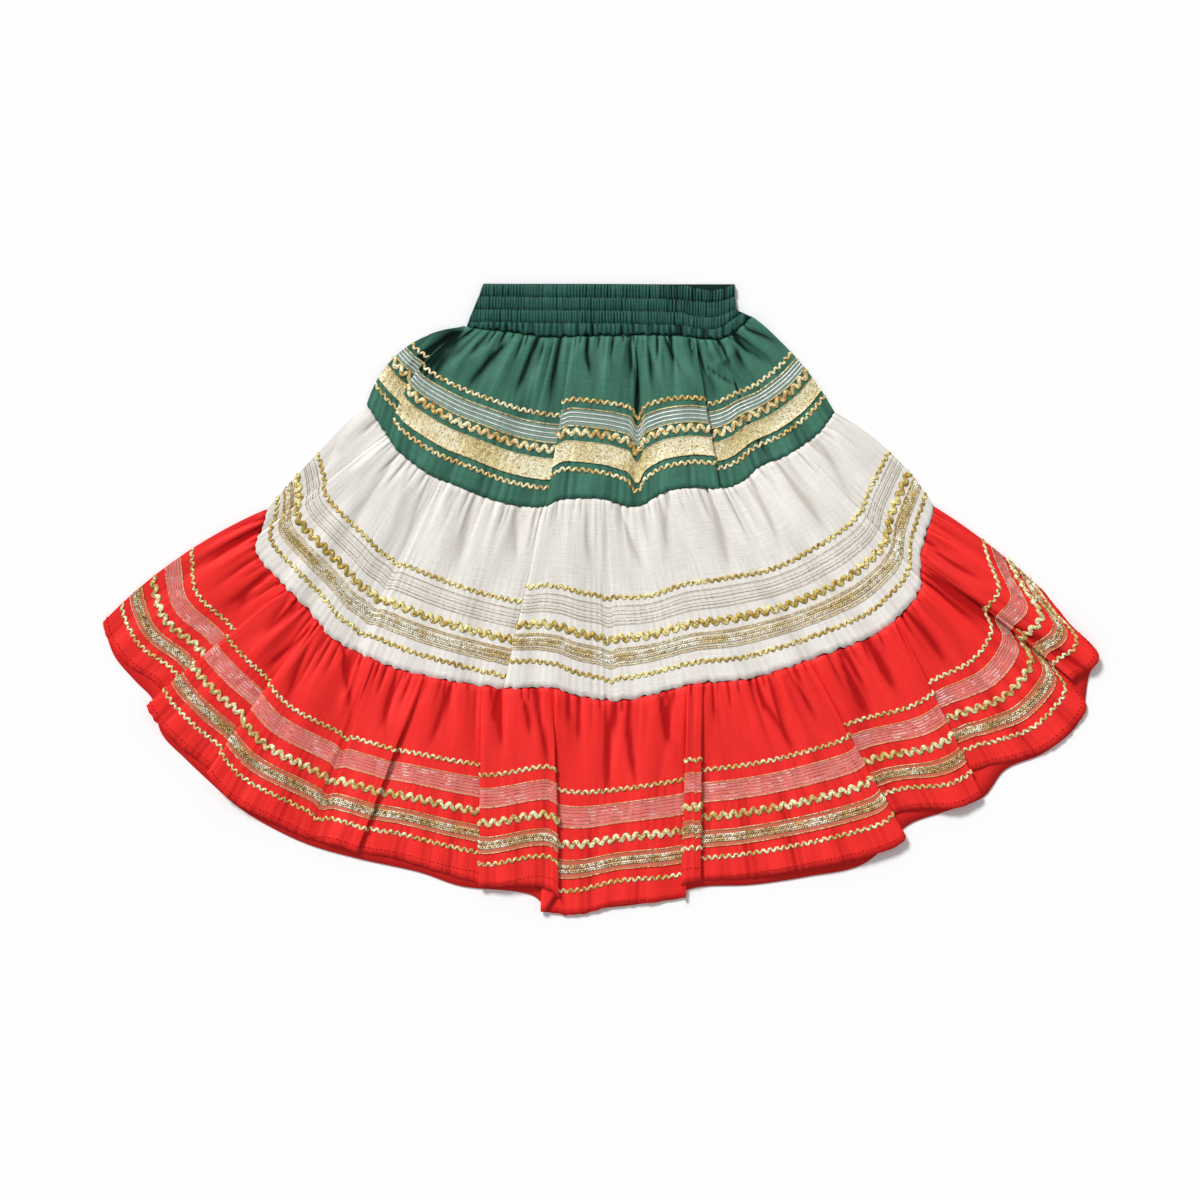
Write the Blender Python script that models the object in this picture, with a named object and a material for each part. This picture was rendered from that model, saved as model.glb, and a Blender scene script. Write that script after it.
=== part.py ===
"""Tiered skirt laid flat with its front up: a shirred waistband, three gathered tiers and their trims.

Frame: +X to the wearer's left as seen from above, +Y towards the waist, +Z up, the origin on the
surface under the middle of the outline. Tables and sizes are in millimetres.
"""

import math
from collections import namedtuple

import bmesh
import bpy
import numpy as np

MM = 0.001

# Cloth and layers: the back lies flat on the surface and the front lies on it
WALL = 1.0
SEAM_GAP = 0.3
TRIM_THICK = 0.6
BACK_TOP = WALL
LOW = BACK_TOP + SEAM_GAP + WALL / 2
MIDDLE = LOW + WALL + 2 * (SEAM_GAP + TRIM_THICK) + 0.4
HIGH = MIDDLE + WALL + 0.4

# A fold at the gathered seam, and how the cloth leaves it
SEAM_LAP = 2.5
SEAM_REACH = 1.2
EDGE_REACH = 2.0
BILLOW = 1.1
COLUMN_SPACING = 21.0
BACK_SPACING = 30.0

# Outline points this near a built column, in columns or as a share of the waist, don't get their own
END_CLEARANCE = 0.05
NEAR_COLUMN = 0.04
NEAR_SHARE = 0.002

# Gathers swell the outer face below each seam and die out above the trims
GATHER_RISE = 1.1
GATHER_UNEVEN = 0.25
GATHER_ROWS = (0.0, 0.1, 0.2)
PANEL_ROWS = (0.34, 0.45, 0.56, 0.67, 0.78, 0.89, 1.0)
INNER_ROWS = (0.34, 0.67)
GATHER_END = PANEL_ROWS[0]

# Waistband: four channels of elastic with fine upright ribs
RIBS = 44
CHANNEL_RISE = 0.9
RIB_RISE = 0.35
BAND_THICK = 1.3

# Where the tables have the middle of the finished outline, which becomes the origin
CENTRE = np.array([0.05, 0.82, 0.0])

Point = namedtuple("Point", "x y")
Fold = namedtuple("Fold", "seam_x seam_y edge_x edge_y over lap step low_drop top_drop")
Trim = namedtuple("Trim", "name height width section colour roughness")

# Outlines in plan, left to right
WAIST_SEAM = (
    Point(-96, 196), Point(-68, 194), Point(-40, 190), Point(4, 191), Point(53, 191),
    Point(68, 189), Point(85, 188), Point(93, 191), Point(109, 204),
)
GREEN_EDGE = (
    Point(-168, 141), Point(-151, 115), Point(-145, 107), Point(-122, 90), Point(-100, 81),
    Point(-70, 70), Point(-39, 67), Point(-30, 72), Point(0, 73), Point(26, 67),
    Point(47, 78), Point(67, 81), Point(88, 80), Point(102, 85), Point(115, 96),
    Point(136, 105), Point(157, 120), Point(169, 135),
)
WHITE_EDGE = (
    Point(-240, 65), Point(-241, 58), Point(-247, 35), Point(-228, 12), Point(-207, -10),
    Point(-193, -27), Point(-160, -44), Point(-128, -54), Point(-73, -63), Point(-34, -63),
    Point(-15, -69), Point(17, -72), Point(69, -60), Point(104, -57), Point(130, -50),
    Point(161, -39), Point(199, -24), Point(217, -9), Point(230, 8), Point(231, 34),
    Point(241, 67),
)
RED_HEM = (
    Point(-358, -16), Point(-356, -25), Point(-342, -45), Point(-317, -63),
    Point(-326, -76), Point(-305, -102), Point(-281, -122),
    Point(-282, -125), Point(-266, -143), Point(-232, -161), Point(-208, -172),
    Point(-190, -176), Point(-175, -181),
    Point(-169, -182), Point(-146, -186), Point(-107, -198), Point(-88, -204),
    Point(-87, -206), Point(-53, -205), Point(-36, -208), Point(-30, -214),
    Point(-32, -225), Point(-13, -226), Point(10, -220), Point(54, -215),
    Point(60, -204), Point(104, -200), Point(161, -191), Point(209, -179), Point(220, -170),
    Point(216, -154), Point(231, -150), Point(258, -149), Point(274, -140),
    Point(273, -122), Point(295, -116), Point(323, -107), Point(346, -86), Point(350, -75),
    Point(340, -58), Point(356, -47), Point(358, -38), Point(337, -16), Point(320, 6),
)
RED_BACK_HEM = (
    Point(-358, -16), Point(-350, -40), Point(-335, -58), Point(-322, -72), Point(-316, -96),
    Point(-300, -113), Point(-280, -132), Point(-262, -148), Point(-240, -162),
    Point(-210, -176), Point(-175, -186), Point(-130, -196), Point(-100, -206),
    Point(-50, -212), Point(-34, -224), Point(0, -222), Point(40, -217), Point(70, -207),
    Point(110, -205), Point(150, -199), Point(190, -190), Point(222, -162),
    Point(250, -152), Point(276, -142), Point(292, -122), Point(320, -110),
    Point(345, -88), Point(352, -55), Point(358, -38), Point(337, -16), Point(320, 6),
)

# The waistband's top edge and the stitched lines between its channels
BAND_LINES = (
    (Point(-83.5, 227.5), Point(60, 226.8), Point(68, 224.6), Point(83, 223.2), Point(97, 226.8)),
    (Point(-82, 218.9), Point(59, 216.7), Point(68, 215.3), Point(85, 215.3), Point(97, 218.9)),
    (Point(-88.6, 209.5), Point(59, 207.4), Point(67, 204.5), Point(85, 204.5), Point(98, 209.5)),
    (Point(-93.6, 200.4), Point(59, 198), Point(67, 195.8), Point(85, 195.8), Point(100.8, 206.2)),
    WAIST_SEAM,
)
BAND_BACK_TOP = (Point(-83.5, 227.5), Point(97, 227.5))

# Folds, each a row: where it starts and ends, which side lies on top, how far it laps at the edge,
# how far the edge steps there, and how far the trims drop beside it on the lower and upper layer
GREEN_FOLDS = (
    Fold(-92, 195.8, -151, 115, "right", 12, 0, -4, 4),
    Fold(-19, 190.5, -39, 67, "right", 10, 0, 5, -4),
    Fold(29, 191, 26, 67, "valley", 0, 0, 5, 5),
    Fold(68, 189, 86, 80, "left", 10, 0, 2, -2),
)
WHITE_FOLDS = (
    Fold(-152, 117, -244.5, 45, "right", 14, 0, 0, 0),
    Fold(-115, 87, -178, -35, "valley", 0, 0, 2, 2),
    Fold(-39, 67, -68, -63, "right", 12, 0, 6, -5),
    Fold(3, 72.5, 7, -71, "valley", 0, 0, 2, 2),
    Fold(142, 109, 230, 14, "left", 9, 0, 2, 0),
)
RED_FOLDS = (
    Fold(-225, 8, -326, -76, "right", 14, 15, 0, 0),
    Fold(-203, -15, -282, -125, "right", 14, 3, 0, 0),
    Fold(-162, -43, -208, -172, "valley", 0, 0, 3, 3),
    Fold(-127, -54, -175, -181, "left", 10, 6, 0, 0),
    Fold(-86, -61, -88, -205, "right", 9, 1, -3, 3),
    Fold(-34, -63, -30, -214, "left", 10, 11, 4, -4),
    Fold(63, -62, 57, -205, "right", 4, 12, 3, -6),
    Fold(74, -61, 72, -205, "left", 2, 0, 3, -5),
    Fold(148, -44, 220, -170, "left", 12, 16, 0, 0),
    Fold(211, -14, 274, -140, "left", 12, 18, 0, 0),
    Fold(231, 29, 340, -58, "right", 8, 0, 0, 0),
)

GOLD = (0.58, 0.38, 0.1)
GLITTER = (0.61, 0.46, 0.16)
TRIM_METALLIC = 0.6
GREEN_SHEER = (0.13, 0.26, 0.19)
WHITE_SHEER = (0.74, 0.71, 0.62)
RED_SHEER = (0.75, 0.12, 0.1)

# Trims, each a row: height of its middle above the edge at the front's centre, width, section
GREEN_TRIMS = (
    Trim("upper_ricrac", 68, 5.5, "ridge", GOLD, 0.35),
    Trim("sheer_ribbon", 55.4, 12.6, "flat", GREEN_SHEER, 0.5),
    Trim("middle_ricrac", 44.6, 7.6, "ridge", GOLD, 0.35),
    Trim("glitter_ribbon", 31, 14, "flat", GLITTER, 0.45),
    Trim("lower_ricrac", 18, 5.5, "ridge", GOLD, 0.35),
)
WHITE_TRIMS = (
    Trim("upper_ricrac", 70, 5.5, "ridge", GOLD, 0.35),
    Trim("sheer_ribbon", 58, 13, "flat", WHITE_SHEER, 0.5),
    Trim("middle_ricrac", 42, 8, "ridge", GOLD, 0.35),
    Trim("metallic_braid", 29.5, 11.5, "flat", GLITTER, 0.45),
    Trim("lower_ricrac", 15, 5.5, "ridge", GOLD, 0.35),
)
RED_TRIMS = (
    Trim("upper_ricrac", 81, 5.5, "ridge", GOLD, 0.35),
    Trim("sheer_ribbon", 65, 14, "flat", RED_SHEER, 0.5),
    Trim("middle_ricrac", 47.5, 8.5, "ridge", GOLD, 0.35),
    Trim("metallic_braid", 32, 11.5, "flat", GLITTER, 0.45),
    Trim("lower_ricrac", 18.5, 5.5, "ridge", GOLD, 0.35),
)

Tier = namedtuple("Tier", "name seam edge back_edge folds trims length bulges gathers colour roughness")

# length is the tier's depth at the front's centre, bulges how far its left and right sides round out
TIERS = (
    Tier("green", WAIST_SEAM, GREEN_EDGE, GREEN_EDGE, GREEN_FOLDS, GREEN_TRIMS,
         118, (15.5, 5.0), 32, (0.014, 0.118, 0.062), 0.45),
    Tier("white", GREEN_EDGE, WHITE_EDGE, WHITE_EDGE, WHITE_FOLDS, WHITE_TRIMS,
         136, (1.5, 6.5), 40, (0.8, 0.77, 0.74), 0.75),
    Tier("red", WHITE_EDGE, RED_HEM, RED_BACK_HEM, RED_FOLDS, RED_TRIMS,
         141, (7.5, 2.5), 50, (0.83, 0.025, 0.02), 0.5),
)
BULGE_SPREAD = 0.22
SEAM_WINDOW = 6.0
HEM_WINDOW = 40.0


class Outline:
    """A line through an outline's points, read by the distance along it."""

    def __init__(self, points):
        self.points = np.array(points, float)
        steps = np.linalg.norm(np.diff(self.points, axis=0), axis=1)
        self.places = np.concatenate([[0.0], np.cumsum(steps)])
        self.length = self.places[-1]

    def at(self, place):
        x = np.interp(place, self.places, self.points[:, 0])
        y = np.interp(place, self.places, self.points[:, 1])
        return np.array([x, y])

    def heading(self, place, window):
        start = max(place - window / 2, 0.0)
        end = min(place + window / 2, self.length)
        run = self.at(end) - self.at(start)
        return run / np.linalg.norm(run)

    def nearest(self, x, y):
        best = (math.inf, 0.0)
        for i in range(len(self.points) - 1):
            start = self.points[i]
            run = self.points[i + 1] - start
            share = np.dot((x, y) - start, run) / np.dot(run, run)
            share = min(max(share, 0.0), 1.0)
            off = np.linalg.norm(start + run * share - (x, y))
            if off < best[0]:
                best = (off, self.places[i] + share * (self.places[i + 1] - self.places[i]))
        return best[1]


# A column of a panel: places along seam and edge, heights at both, whether it shows, the trims' drop
Column = namedtuple("Column", "seam edge seam_z edge_z shown drop")


def ease(share):
    return 0.5 - 0.5 * math.cos(math.pi * share)


def fold_columns(fold, seam, edge):
    """A fold's columns from left to right, the layer it lies on first where its right side is on top."""
    at_seam = seam.nearest(fold.seam_x, fold.seam_y)
    at_edge = edge.nearest(fold.edge_x, fold.edge_y)
    if fold.over == "valley":
        shoulder = LOW + BILLOW
        return [
            Column(at_seam - 2.0, at_edge - 6.0, shoulder, shoulder, True, 0.4 * fold.low_drop),
            Column(at_seam, at_edge, LOW, LOW, True, fold.low_drop),
            Column(at_seam + 2.0, at_edge + 6.0, shoulder, shoulder, True, 0.4 * fold.low_drop),
        ]
    side = 1 if fold.over == "right" else -1
    inner_seam = at_seam + side * SEAM_LAP
    inner_edge = at_edge + side * fold.lap
    beside_seam = at_seam - side * SEAM_REACH
    beside_edge = at_edge - side * (fold.step + EDGE_REACH)
    past_seam = inner_seam + side * SEAM_REACH
    past_edge = inner_edge + side * EDGE_REACH
    middle_drop = 0.5 * (fold.low_drop + fold.top_drop)
    columns = [
        Column(beside_seam, beside_edge, LOW, LOW, True, fold.low_drop),
        Column(inner_seam, inner_edge, LOW, LOW, False, fold.low_drop),
        Column(inner_seam, inner_edge, MIDDLE, MIDDLE, False, middle_drop),
        Column(at_seam, at_edge, MIDDLE, MIDDLE, False, middle_drop),
        Column(at_seam, at_edge, HIGH, HIGH, True, fold.top_drop),
        Column(past_seam, past_edge, HIGH, HIGH, True, fold.top_drop),
    ]
    return columns[::side]


def between(first, last, seam_height):
    """Columns across the cloth between two folds, billowing a little."""
    count = max(1, round((last.edge - first.edge) / COLUMN_SPACING))
    columns = []
    for i in range(1, count + 1):
        share = i / (count + 1)
        rise = BILLOW * math.sin(math.pi * share)
        height = first.edge_z + (last.edge_z - first.edge_z) * ease(share) + rise
        drop = first.drop * (1 - share) ** 2 + last.drop * share ** 2
        place = first.seam + (last.seam - first.seam) * share
        reach = first.edge + (last.edge - first.edge) * share
        columns.append(Column(place, reach, seam_height(place), height, True, drop))
    return columns


def front_columns(tier, seam, edge, seam_height):
    """All columns of a front panel from its left side to its right side."""
    start = Column(0.0, 0.0, LOW, LOW, True, 0.0)
    end = Column(seam.length, edge.length, LOW, LOW, True, 0.0)
    groups = [[start]] + [fold_columns(fold, seam, edge) for fold in tier.folds] + [[end]]
    columns = list(groups[0])
    for group in groups[1:]:
        columns += between(columns[-1], group[0], seam_height)
        columns += group
    return columns


class Panel:
    """A panel ruled between its seam and its edge, with rows of points at given shares of its depth."""

    def __init__(self, tier, columns, seam, edge, edge_window):
        self.tier = tier
        self.columns = columns
        self.seam = seam
        self.edge = edge
        self.edge_window = edge_window

    def column_at(self, position):
        """The column at a whole or part position between two built ones."""
        low = min(int(position), len(self.columns) - 2)
        share = position - low
        first = self.columns[low]
        last = self.columns[low + 1]
        values = [first[k] + (last[k] - first[k]) * share for k in range(4)]
        drop = first.drop + (last.drop - first.drop) * share
        return Column(*values, first.shown and last.shown, drop)

    def bulge(self, column):
        """How far the rounded side moves this column outward at half depth."""
        share = column.seam / self.seam.length
        left, right = self.tier.bulges
        run = self.edge.at(0.0) - self.seam.at(0.0)
        out_left = np.array([run[1], -run[0]]) / np.linalg.norm(run)
        run = self.edge.at(self.edge.length) - self.seam.at(self.seam.length)
        out_right = np.array([-run[1], run[0]]) / np.linalg.norm(run)
        fade_left = max(0.0, 1 - share / BULGE_SPREAD) ** 2
        fade_right = max(0.0, 1 - (1 - share) / BULGE_SPREAD) ** 2
        return left * fade_left * out_left + right * fade_right * out_right

    def point(self, column, depth):
        """The middle of the wall at this column and share of the depth."""
        top = self.seam.at(column.seam)
        bottom = self.edge.at(column.edge)
        run = bottom - top
        clear = SEAM_GAP / 2 / np.linalg.norm(run)
        share = min(max(depth, clear), 1 - clear)
        plan = top + run * share + self.bulge(column) * 4 * depth * (1 - depth)
        height = column.seam_z + (column.edge_z - column.seam_z) * depth
        return np.array([plan[0], plan[1], height])

    def heading(self, column, depth):
        """The level direction along the panel at this column and depth."""
        along = (1 - depth) * self.seam.heading(column.seam, SEAM_WINDOW)
        along = along + depth * self.edge.heading(column.edge, self.edge_window)
        return along / np.linalg.norm(along)

    def normal(self, i, depth, along):
        """The outward direction of the stretch from a built column to the next, as (along, up)."""
        run = self.point(self.columns[i + 1], depth) - self.point(self.columns[i], depth)
        level = np.dot(run[:2], along)
        return np.array([-run[2], level]) / math.hypot(level, run[2])

    def outward(self, position, depth):
        """How a point moves for each millimetre outward: mitred at a built column."""
        along = self.heading(self.column_at(position), depth)
        i = int(position)
        if i < position:
            mean = self.normal(i, depth, along)
        else:
            sides = [k for k in (i - 1, i) if 0 <= k < len(self.columns) - 1]
            normals = [self.normal(k, depth, along) for k in sides]
            mean = sum(normals)
            mean = mean / np.linalg.norm(mean)
            mean = mean / np.dot(mean, normals[0])
        return np.array([along[0] * mean[0], along[1] * mean[0], mean[1]])

    def moved(self, position, depth, distance):
        """A point of the panel moved out by a distance, at a whole or part column position."""
        place = self.point(self.column_at(position), depth)
        return place + self.outward(position, depth) * distance

    def on_rows(self, i, depth, distance):
        """A built column's point on the flat faces between the panel's lower rows, moved out."""
        for first, last in zip(PANEL_ROWS, PANEL_ROWS[1:]):
            if depth <= last:
                break
        share = (depth - first) / (last - first)
        start = self.moved(i, first, distance)
        return start + (self.moved(i, last, distance) - start) * share

    def outline_positions(self, outline, field):
        """Column positions where the seam or edge passes one of its outline's points."""
        found = []
        for i in range(len(self.columns) - 1):
            first = getattr(self.columns[i], field)
            last = getattr(self.columns[i + 1], field)
            for place in outline.places[1:-1]:
                if min(first, last) + END_CLEARANCE < place < max(first, last) - END_CLEARANCE:
                    found.append(i + (place - first) / (last - first))
        return found

    def gather_positions(self):
        """Column positions of the gathers' crests, and of the hollows between them."""
        pitch = self.seam.length / self.tier.gathers
        crests = []
        hollows = []
        for i in range(len(self.columns) - 1):
            first, last = self.columns[i], self.columns[i + 1]
            width = last.seam - first.seam
            if not (first.shown and last.shown) or width < pitch / 2:
                continue
            count = max(1, round(width / pitch))
            crests += [i + (k + 0.5) / count for k in range(count)]
            hollows += [i + k / count for k in range(1, count)]
        return crests, hollows


def rise_of_gather(number, depth):
    """Height of a gather above the plain face: uneven from one to the next, gone at GATHER_END."""
    uneven = 1 - GATHER_UNEVEN * (1 - math.sin(2.4 * number) * math.cos(1.1 * number))
    return GATHER_RISE * uneven * (1 - depth / GATHER_END)


def sew_rows(bm, upper, lower):
    """Triangles between two rows of (position, vertex), which may differ in number."""
    i = 0
    j = 0
    while i < len(upper) - 1 or j < len(lower) - 1:
        upper_next = upper[i + 1][0] if i < len(upper) - 1 else math.inf
        lower_next = lower[j + 1][0] if j < len(lower) - 1 else math.inf
        if upper_next <= lower_next:
            bm.faces.new((upper[i][1], lower[j][1], upper[i + 1][1]))
            i += 1
        else:
            bm.faces.new((upper[i][1], lower[j][1], lower[j + 1][1]))
            j += 1


def closed_sheet(name, outer_rows, inner_rows, colour, roughness, metallic=0.0):
    """A closed wall from rows of (depth, [(position, point)]) on its outer and inner side."""
    bm = bmesh.new()
    sides = []
    for rows in (outer_rows, inner_rows):
        made = []
        for depth, row in rows:
            verts = [(position, bm.verts.new((point - CENTRE) * MM)) for position, point in row]
            made.append((depth, verts))
        sides.append(made)
        for (_, first), (_, last) in zip(made, made[1:]):
            sew_rows(bm, first, last)
    outer, inner = sides
    sew_rows(bm, outer[0][1], inner[0][1])
    sew_rows(bm, outer[-1][1], inner[-1][1])
    for end in (0, -1):
        outer_end = [(depth, row[end][1]) for depth, row in outer]
        inner_end = [(depth, row[end][1]) for depth, row in inner]
        sew_rows(bm, outer_end, inner_end)
    bmesh.ops.recalc_face_normals(bm, faces=bm.faces)
    mesh = bpy.data.meshes.new(name)
    bm.to_mesh(mesh)
    bm.free()
    obj = bpy.data.objects.new(name, mesh)
    bpy.context.collection.objects.link(obj)
    mesh.materials.append(cloth(name, colour, roughness, metallic))
    return obj


def cloth(name, colour, roughness, metallic):
    """A plain material in the piece's colour."""
    material = bpy.data.materials.new(name)
    material.use_nodes = True
    shader = material.node_tree.nodes["Principled BSDF"]
    shader.inputs["Base Color"].default_value = (*colour, 1.0)
    shader.inputs["Roughness"].default_value = roughness
    shader.inputs["Metallic"].default_value = metallic
    return material


def build_front(panel):
    """A tier's front: gathers raised on its outer side, plain inside."""
    whole = list(range(len(panel.columns)))
    crests, hollows = panel.gather_positions()
    number = {position: k for k, position in enumerate(crests)}
    at_seam = panel.outline_positions(panel.seam, "seam")
    at_edge = panel.outline_positions(panel.edge, "edge")
    half = WALL / 2

    def row(depth, positions, distance):
        points = []
        for position in sorted(positions):
            point = panel.moved(position, depth, distance)
            if distance > 0 and position in number:
                point[2] += rise_of_gather(number[position], depth)
            points.append((position, point))
        return depth, points

    outer = []
    for depth in GATHER_ROWS:
        extra = crests + hollows
        if depth == 0:
            extra = extra + [p for p in at_seam if min(abs(p - q) for q in extra) > NEAR_COLUMN]
            forced = [p for p in at_seam if p not in extra]
            extra = [q for q in extra if all(abs(q - p) > NEAR_COLUMN for p in forced)] + forced
        outer.append(row(depth, whole + extra, half))
    for depth in PANEL_ROWS[:-1]:
        outer.append(row(depth, whole, half))
    outer.append(row(1.0, whole + at_edge, half))
    inner = [row(0.0, whole + at_seam, -half)]
    for depth in INNER_ROWS:
        inner.append(row(depth, whole, -half))
    inner.append(row(1.0, whole + at_edge, -half))
    closed_sheet(f"{panel.tier.name}_tier_front", outer, inner, panel.tier.colour, panel.tier.roughness)


def build_trim(panel, trim):
    """A trim sewn along the panel, through its folds: a flat band, or a low ridge for ric-rac."""
    clear = WALL / 2 + SEAM_GAP
    half = trim.width / 2

    def row(height, distance):
        points = []
        for i, column in enumerate(panel.columns):
            depth = 1 - (height - column.drop) / panel.tier.length
            points.append((i, panel.on_rows(i, depth, distance)))
        return 1 - height / panel.tier.length, points

    inner = [row(trim.height + half, clear), row(trim.height - half, clear)]
    if trim.section == "ridge":
        outer = [row(trim.height, clear + TRIM_THICK)]
    else:
        outer = [row(trim.height + half, clear + TRIM_THICK), row(trim.height - half, clear + TRIM_THICK)]
    name = f"{panel.tier.name}_{trim.name}"
    closed_sheet(name, outer, inner, trim.colour, trim.roughness, TRIM_METALLIC)


def build_back(tier):
    """A tier's back: flat on the surface."""
    seam = Outline(tier.seam)
    edge = Outline(tier.back_edge)
    count = round(seam.length / BACK_SPACING)
    columns = []
    for i in range(count + 1):
        share = i / count
        columns.append(Column(seam.length * share, edge.length * share, 0.0, 0.0, True, 0.0))
    panel = Panel(tier, columns, seam, edge, HEM_WINDOW)
    whole = list(range(len(columns)))
    seam_row = sorted(whole + panel.outline_positions(seam, "seam"))
    edge_row = sorted(whole + panel.outline_positions(edge, "edge"))
    rows = [(0.0, seam_row)] + [(depth, whole) for depth in INNER_ROWS] + [(1.0, edge_row)]
    sides = []
    for height in (BACK_TOP, 0.0):
        up = np.array([0.0, 0.0, height])
        side = []
        for depth, positions in rows:
            points = [(p, panel.point(panel.column_at(p), depth) + up) for p in positions]
            side.append((depth, points))
        sides.append(side)
    closed_sheet(f"{tier.name}_tier_back", sides[0], sides[1], tier.colour, tier.roughness)


def band_point(lines, line, share):
    """A point of the waistband at a whole or half line and a share of its width."""
    low = min(int(line), len(lines) - 2)
    part = line - low
    first = lines[low].at(lines[low].length * share)
    last = lines[low + 1].at(lines[low + 1].length * share)
    return first + (last - first) * part


def build_band_front():
    """The waistband's front: channels and ribs raised over a plain inside."""
    lines = [Outline(points) for points in BAND_LINES]
    seam = lines[-1]
    whole = [i / (2 * RIBS) for i in range(2 * RIBS + 1)]
    corners = list(seam.places[1:-1] / seam.length)
    inside = BACK_TOP + SEAM_GAP
    last_line = len(lines) - 1
    seam_clear = np.array([0.0, SEAM_GAP / 2])

    def point(line, share, height):
        plan = band_point(lines, line, share)
        if line == last_line:
            plan = plan + seam_clear
        return np.array([plan[0], plan[1], height])

    outer = []
    for half_line in range(2 * last_line + 1):
        line = half_line / 2
        positions = list(whole)
        if line == last_line:
            positions = [p for p in whole if all(abs(p - q) > NEAR_SHARE for q in corners)]
            positions = sorted(positions + corners)
        row = []
        for share in positions:
            crest = (share in whole) and whole.index(share) % 2 == 1
            rise = CHANNEL_RISE if half_line % 2 == 1 else 0.0
            rise += RIB_RISE if crest else 0.0
            row.append((share, point(line, share, inside + BAND_THICK + rise)))
        outer.append((line, row))
    plain = sorted([0.0, 1.0] + corners)
    inner = []
    for line in range(last_line + 1):
        inner.append((float(line), [(share, point(line, share, inside)) for share in plain]))
    closed_sheet("waistband_front", outer, inner, TIERS[0].colour, TIERS[0].roughness)


def build_band_back():
    """The waistband's back: flat, its top edge a little above the front's."""
    lines = [Outline(BAND_BACK_TOP), Outline(WAIST_SEAM)]
    corners = list(lines[1].places[1:-1] / lines[1].length)
    plain = sorted([0.0, 1.0] + corners)
    seam_clear = np.array([0.0, SEAM_GAP / 2])
    sides = []
    for height in (BACK_TOP, 0.0):
        side = []
        for line in (0, 1):
            row = []
            for share in plain:
                plan = band_point(lines, line, share) + (seam_clear if line else 0.0)
                row.append((share, np.array([plan[0], plan[1], height])))
            side.append((float(line), row))
        sides.append(side)
    closed_sheet("waistband_back", sides[0], sides[1], TIERS[0].colour, TIERS[0].roughness)


def build_tiers():
    """The three tiers from the waist down, each seam at the height of the edge it is sewn to."""
    above = None
    for tier in TIERS:
        seam = Outline(tier.seam)
        edge = Outline(tier.edge)
        shown = [column for column in above or [] if column.shown]
        places = [column.edge for column in shown]
        heights = [column.edge_z for column in shown]

        def seam_height(place):
            return float(np.interp(place, places, heights)) if shown else LOW + BILLOW

        window = HEM_WINDOW if tier is TIERS[-1] else SEAM_WINDOW
        columns = front_columns(tier, seam, edge, seam_height)
        panel = Panel(tier, columns, seam, edge, window)
        build_front(panel)
        for trim in tier.trims:
            build_trim(panel, trim)
        build_back(tier)
        above = columns


def main():
    for obj in list(bpy.data.objects):
        bpy.data.objects.remove(obj)
    build_band_front()
    build_band_back()
    build_tiers()


main()
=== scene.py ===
import math

import bpy
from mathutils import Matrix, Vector
import numpy as np


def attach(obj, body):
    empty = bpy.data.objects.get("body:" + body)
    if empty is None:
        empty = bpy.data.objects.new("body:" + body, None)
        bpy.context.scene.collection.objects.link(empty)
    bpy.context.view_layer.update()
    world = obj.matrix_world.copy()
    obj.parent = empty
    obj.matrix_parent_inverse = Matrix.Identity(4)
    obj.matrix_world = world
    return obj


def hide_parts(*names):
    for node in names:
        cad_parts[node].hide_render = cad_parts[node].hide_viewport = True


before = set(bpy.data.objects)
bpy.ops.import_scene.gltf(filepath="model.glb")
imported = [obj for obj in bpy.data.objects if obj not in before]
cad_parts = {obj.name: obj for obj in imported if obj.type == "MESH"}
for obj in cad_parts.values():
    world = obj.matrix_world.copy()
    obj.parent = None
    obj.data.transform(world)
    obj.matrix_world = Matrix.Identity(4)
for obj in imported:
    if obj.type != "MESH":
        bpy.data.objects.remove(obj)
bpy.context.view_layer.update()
mm = 0.001
wholeTurn = 6.28318
roughTurn = 6.28      # the seeded waves are set with this one
print("frame loaded")

# The tables are in millimetres. Their origin is moved, so that the outline's middle is the frame's
layout = {
    "middle": (0.05, 0.82),
    "low": 1.8,          # height of the front's lowest layer
    "turned": 5.0,       # the layer turned under in a fold
    "high": 6.4,         # the layer on top of a fold
    "backHeight": 0.95,
    "cloth": 0.45,       # drawn thickness of the cloth
    "seamLayer": 0.6,    # layers in a fold lie this close at a gathered seam
    "openBy": 0.38,      # share of a tier's depth by which its folds stand at full height
    "floor": 1.62,       # lowest height of the front's middle surface
    "tuck": 1.0,         # how far a tier runs under the one above it
    "underEdge": 1.1,    # how far its seam lies below that one's edge
    "atWaist": 1.9,      # height of the waist seam
    "fine": 0.2,         # share of the depth with closer rows, and the rows above and below it
    "frontRows": (12, 25), "backRows": (5, 12), "backColumns": 260,
}

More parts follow.
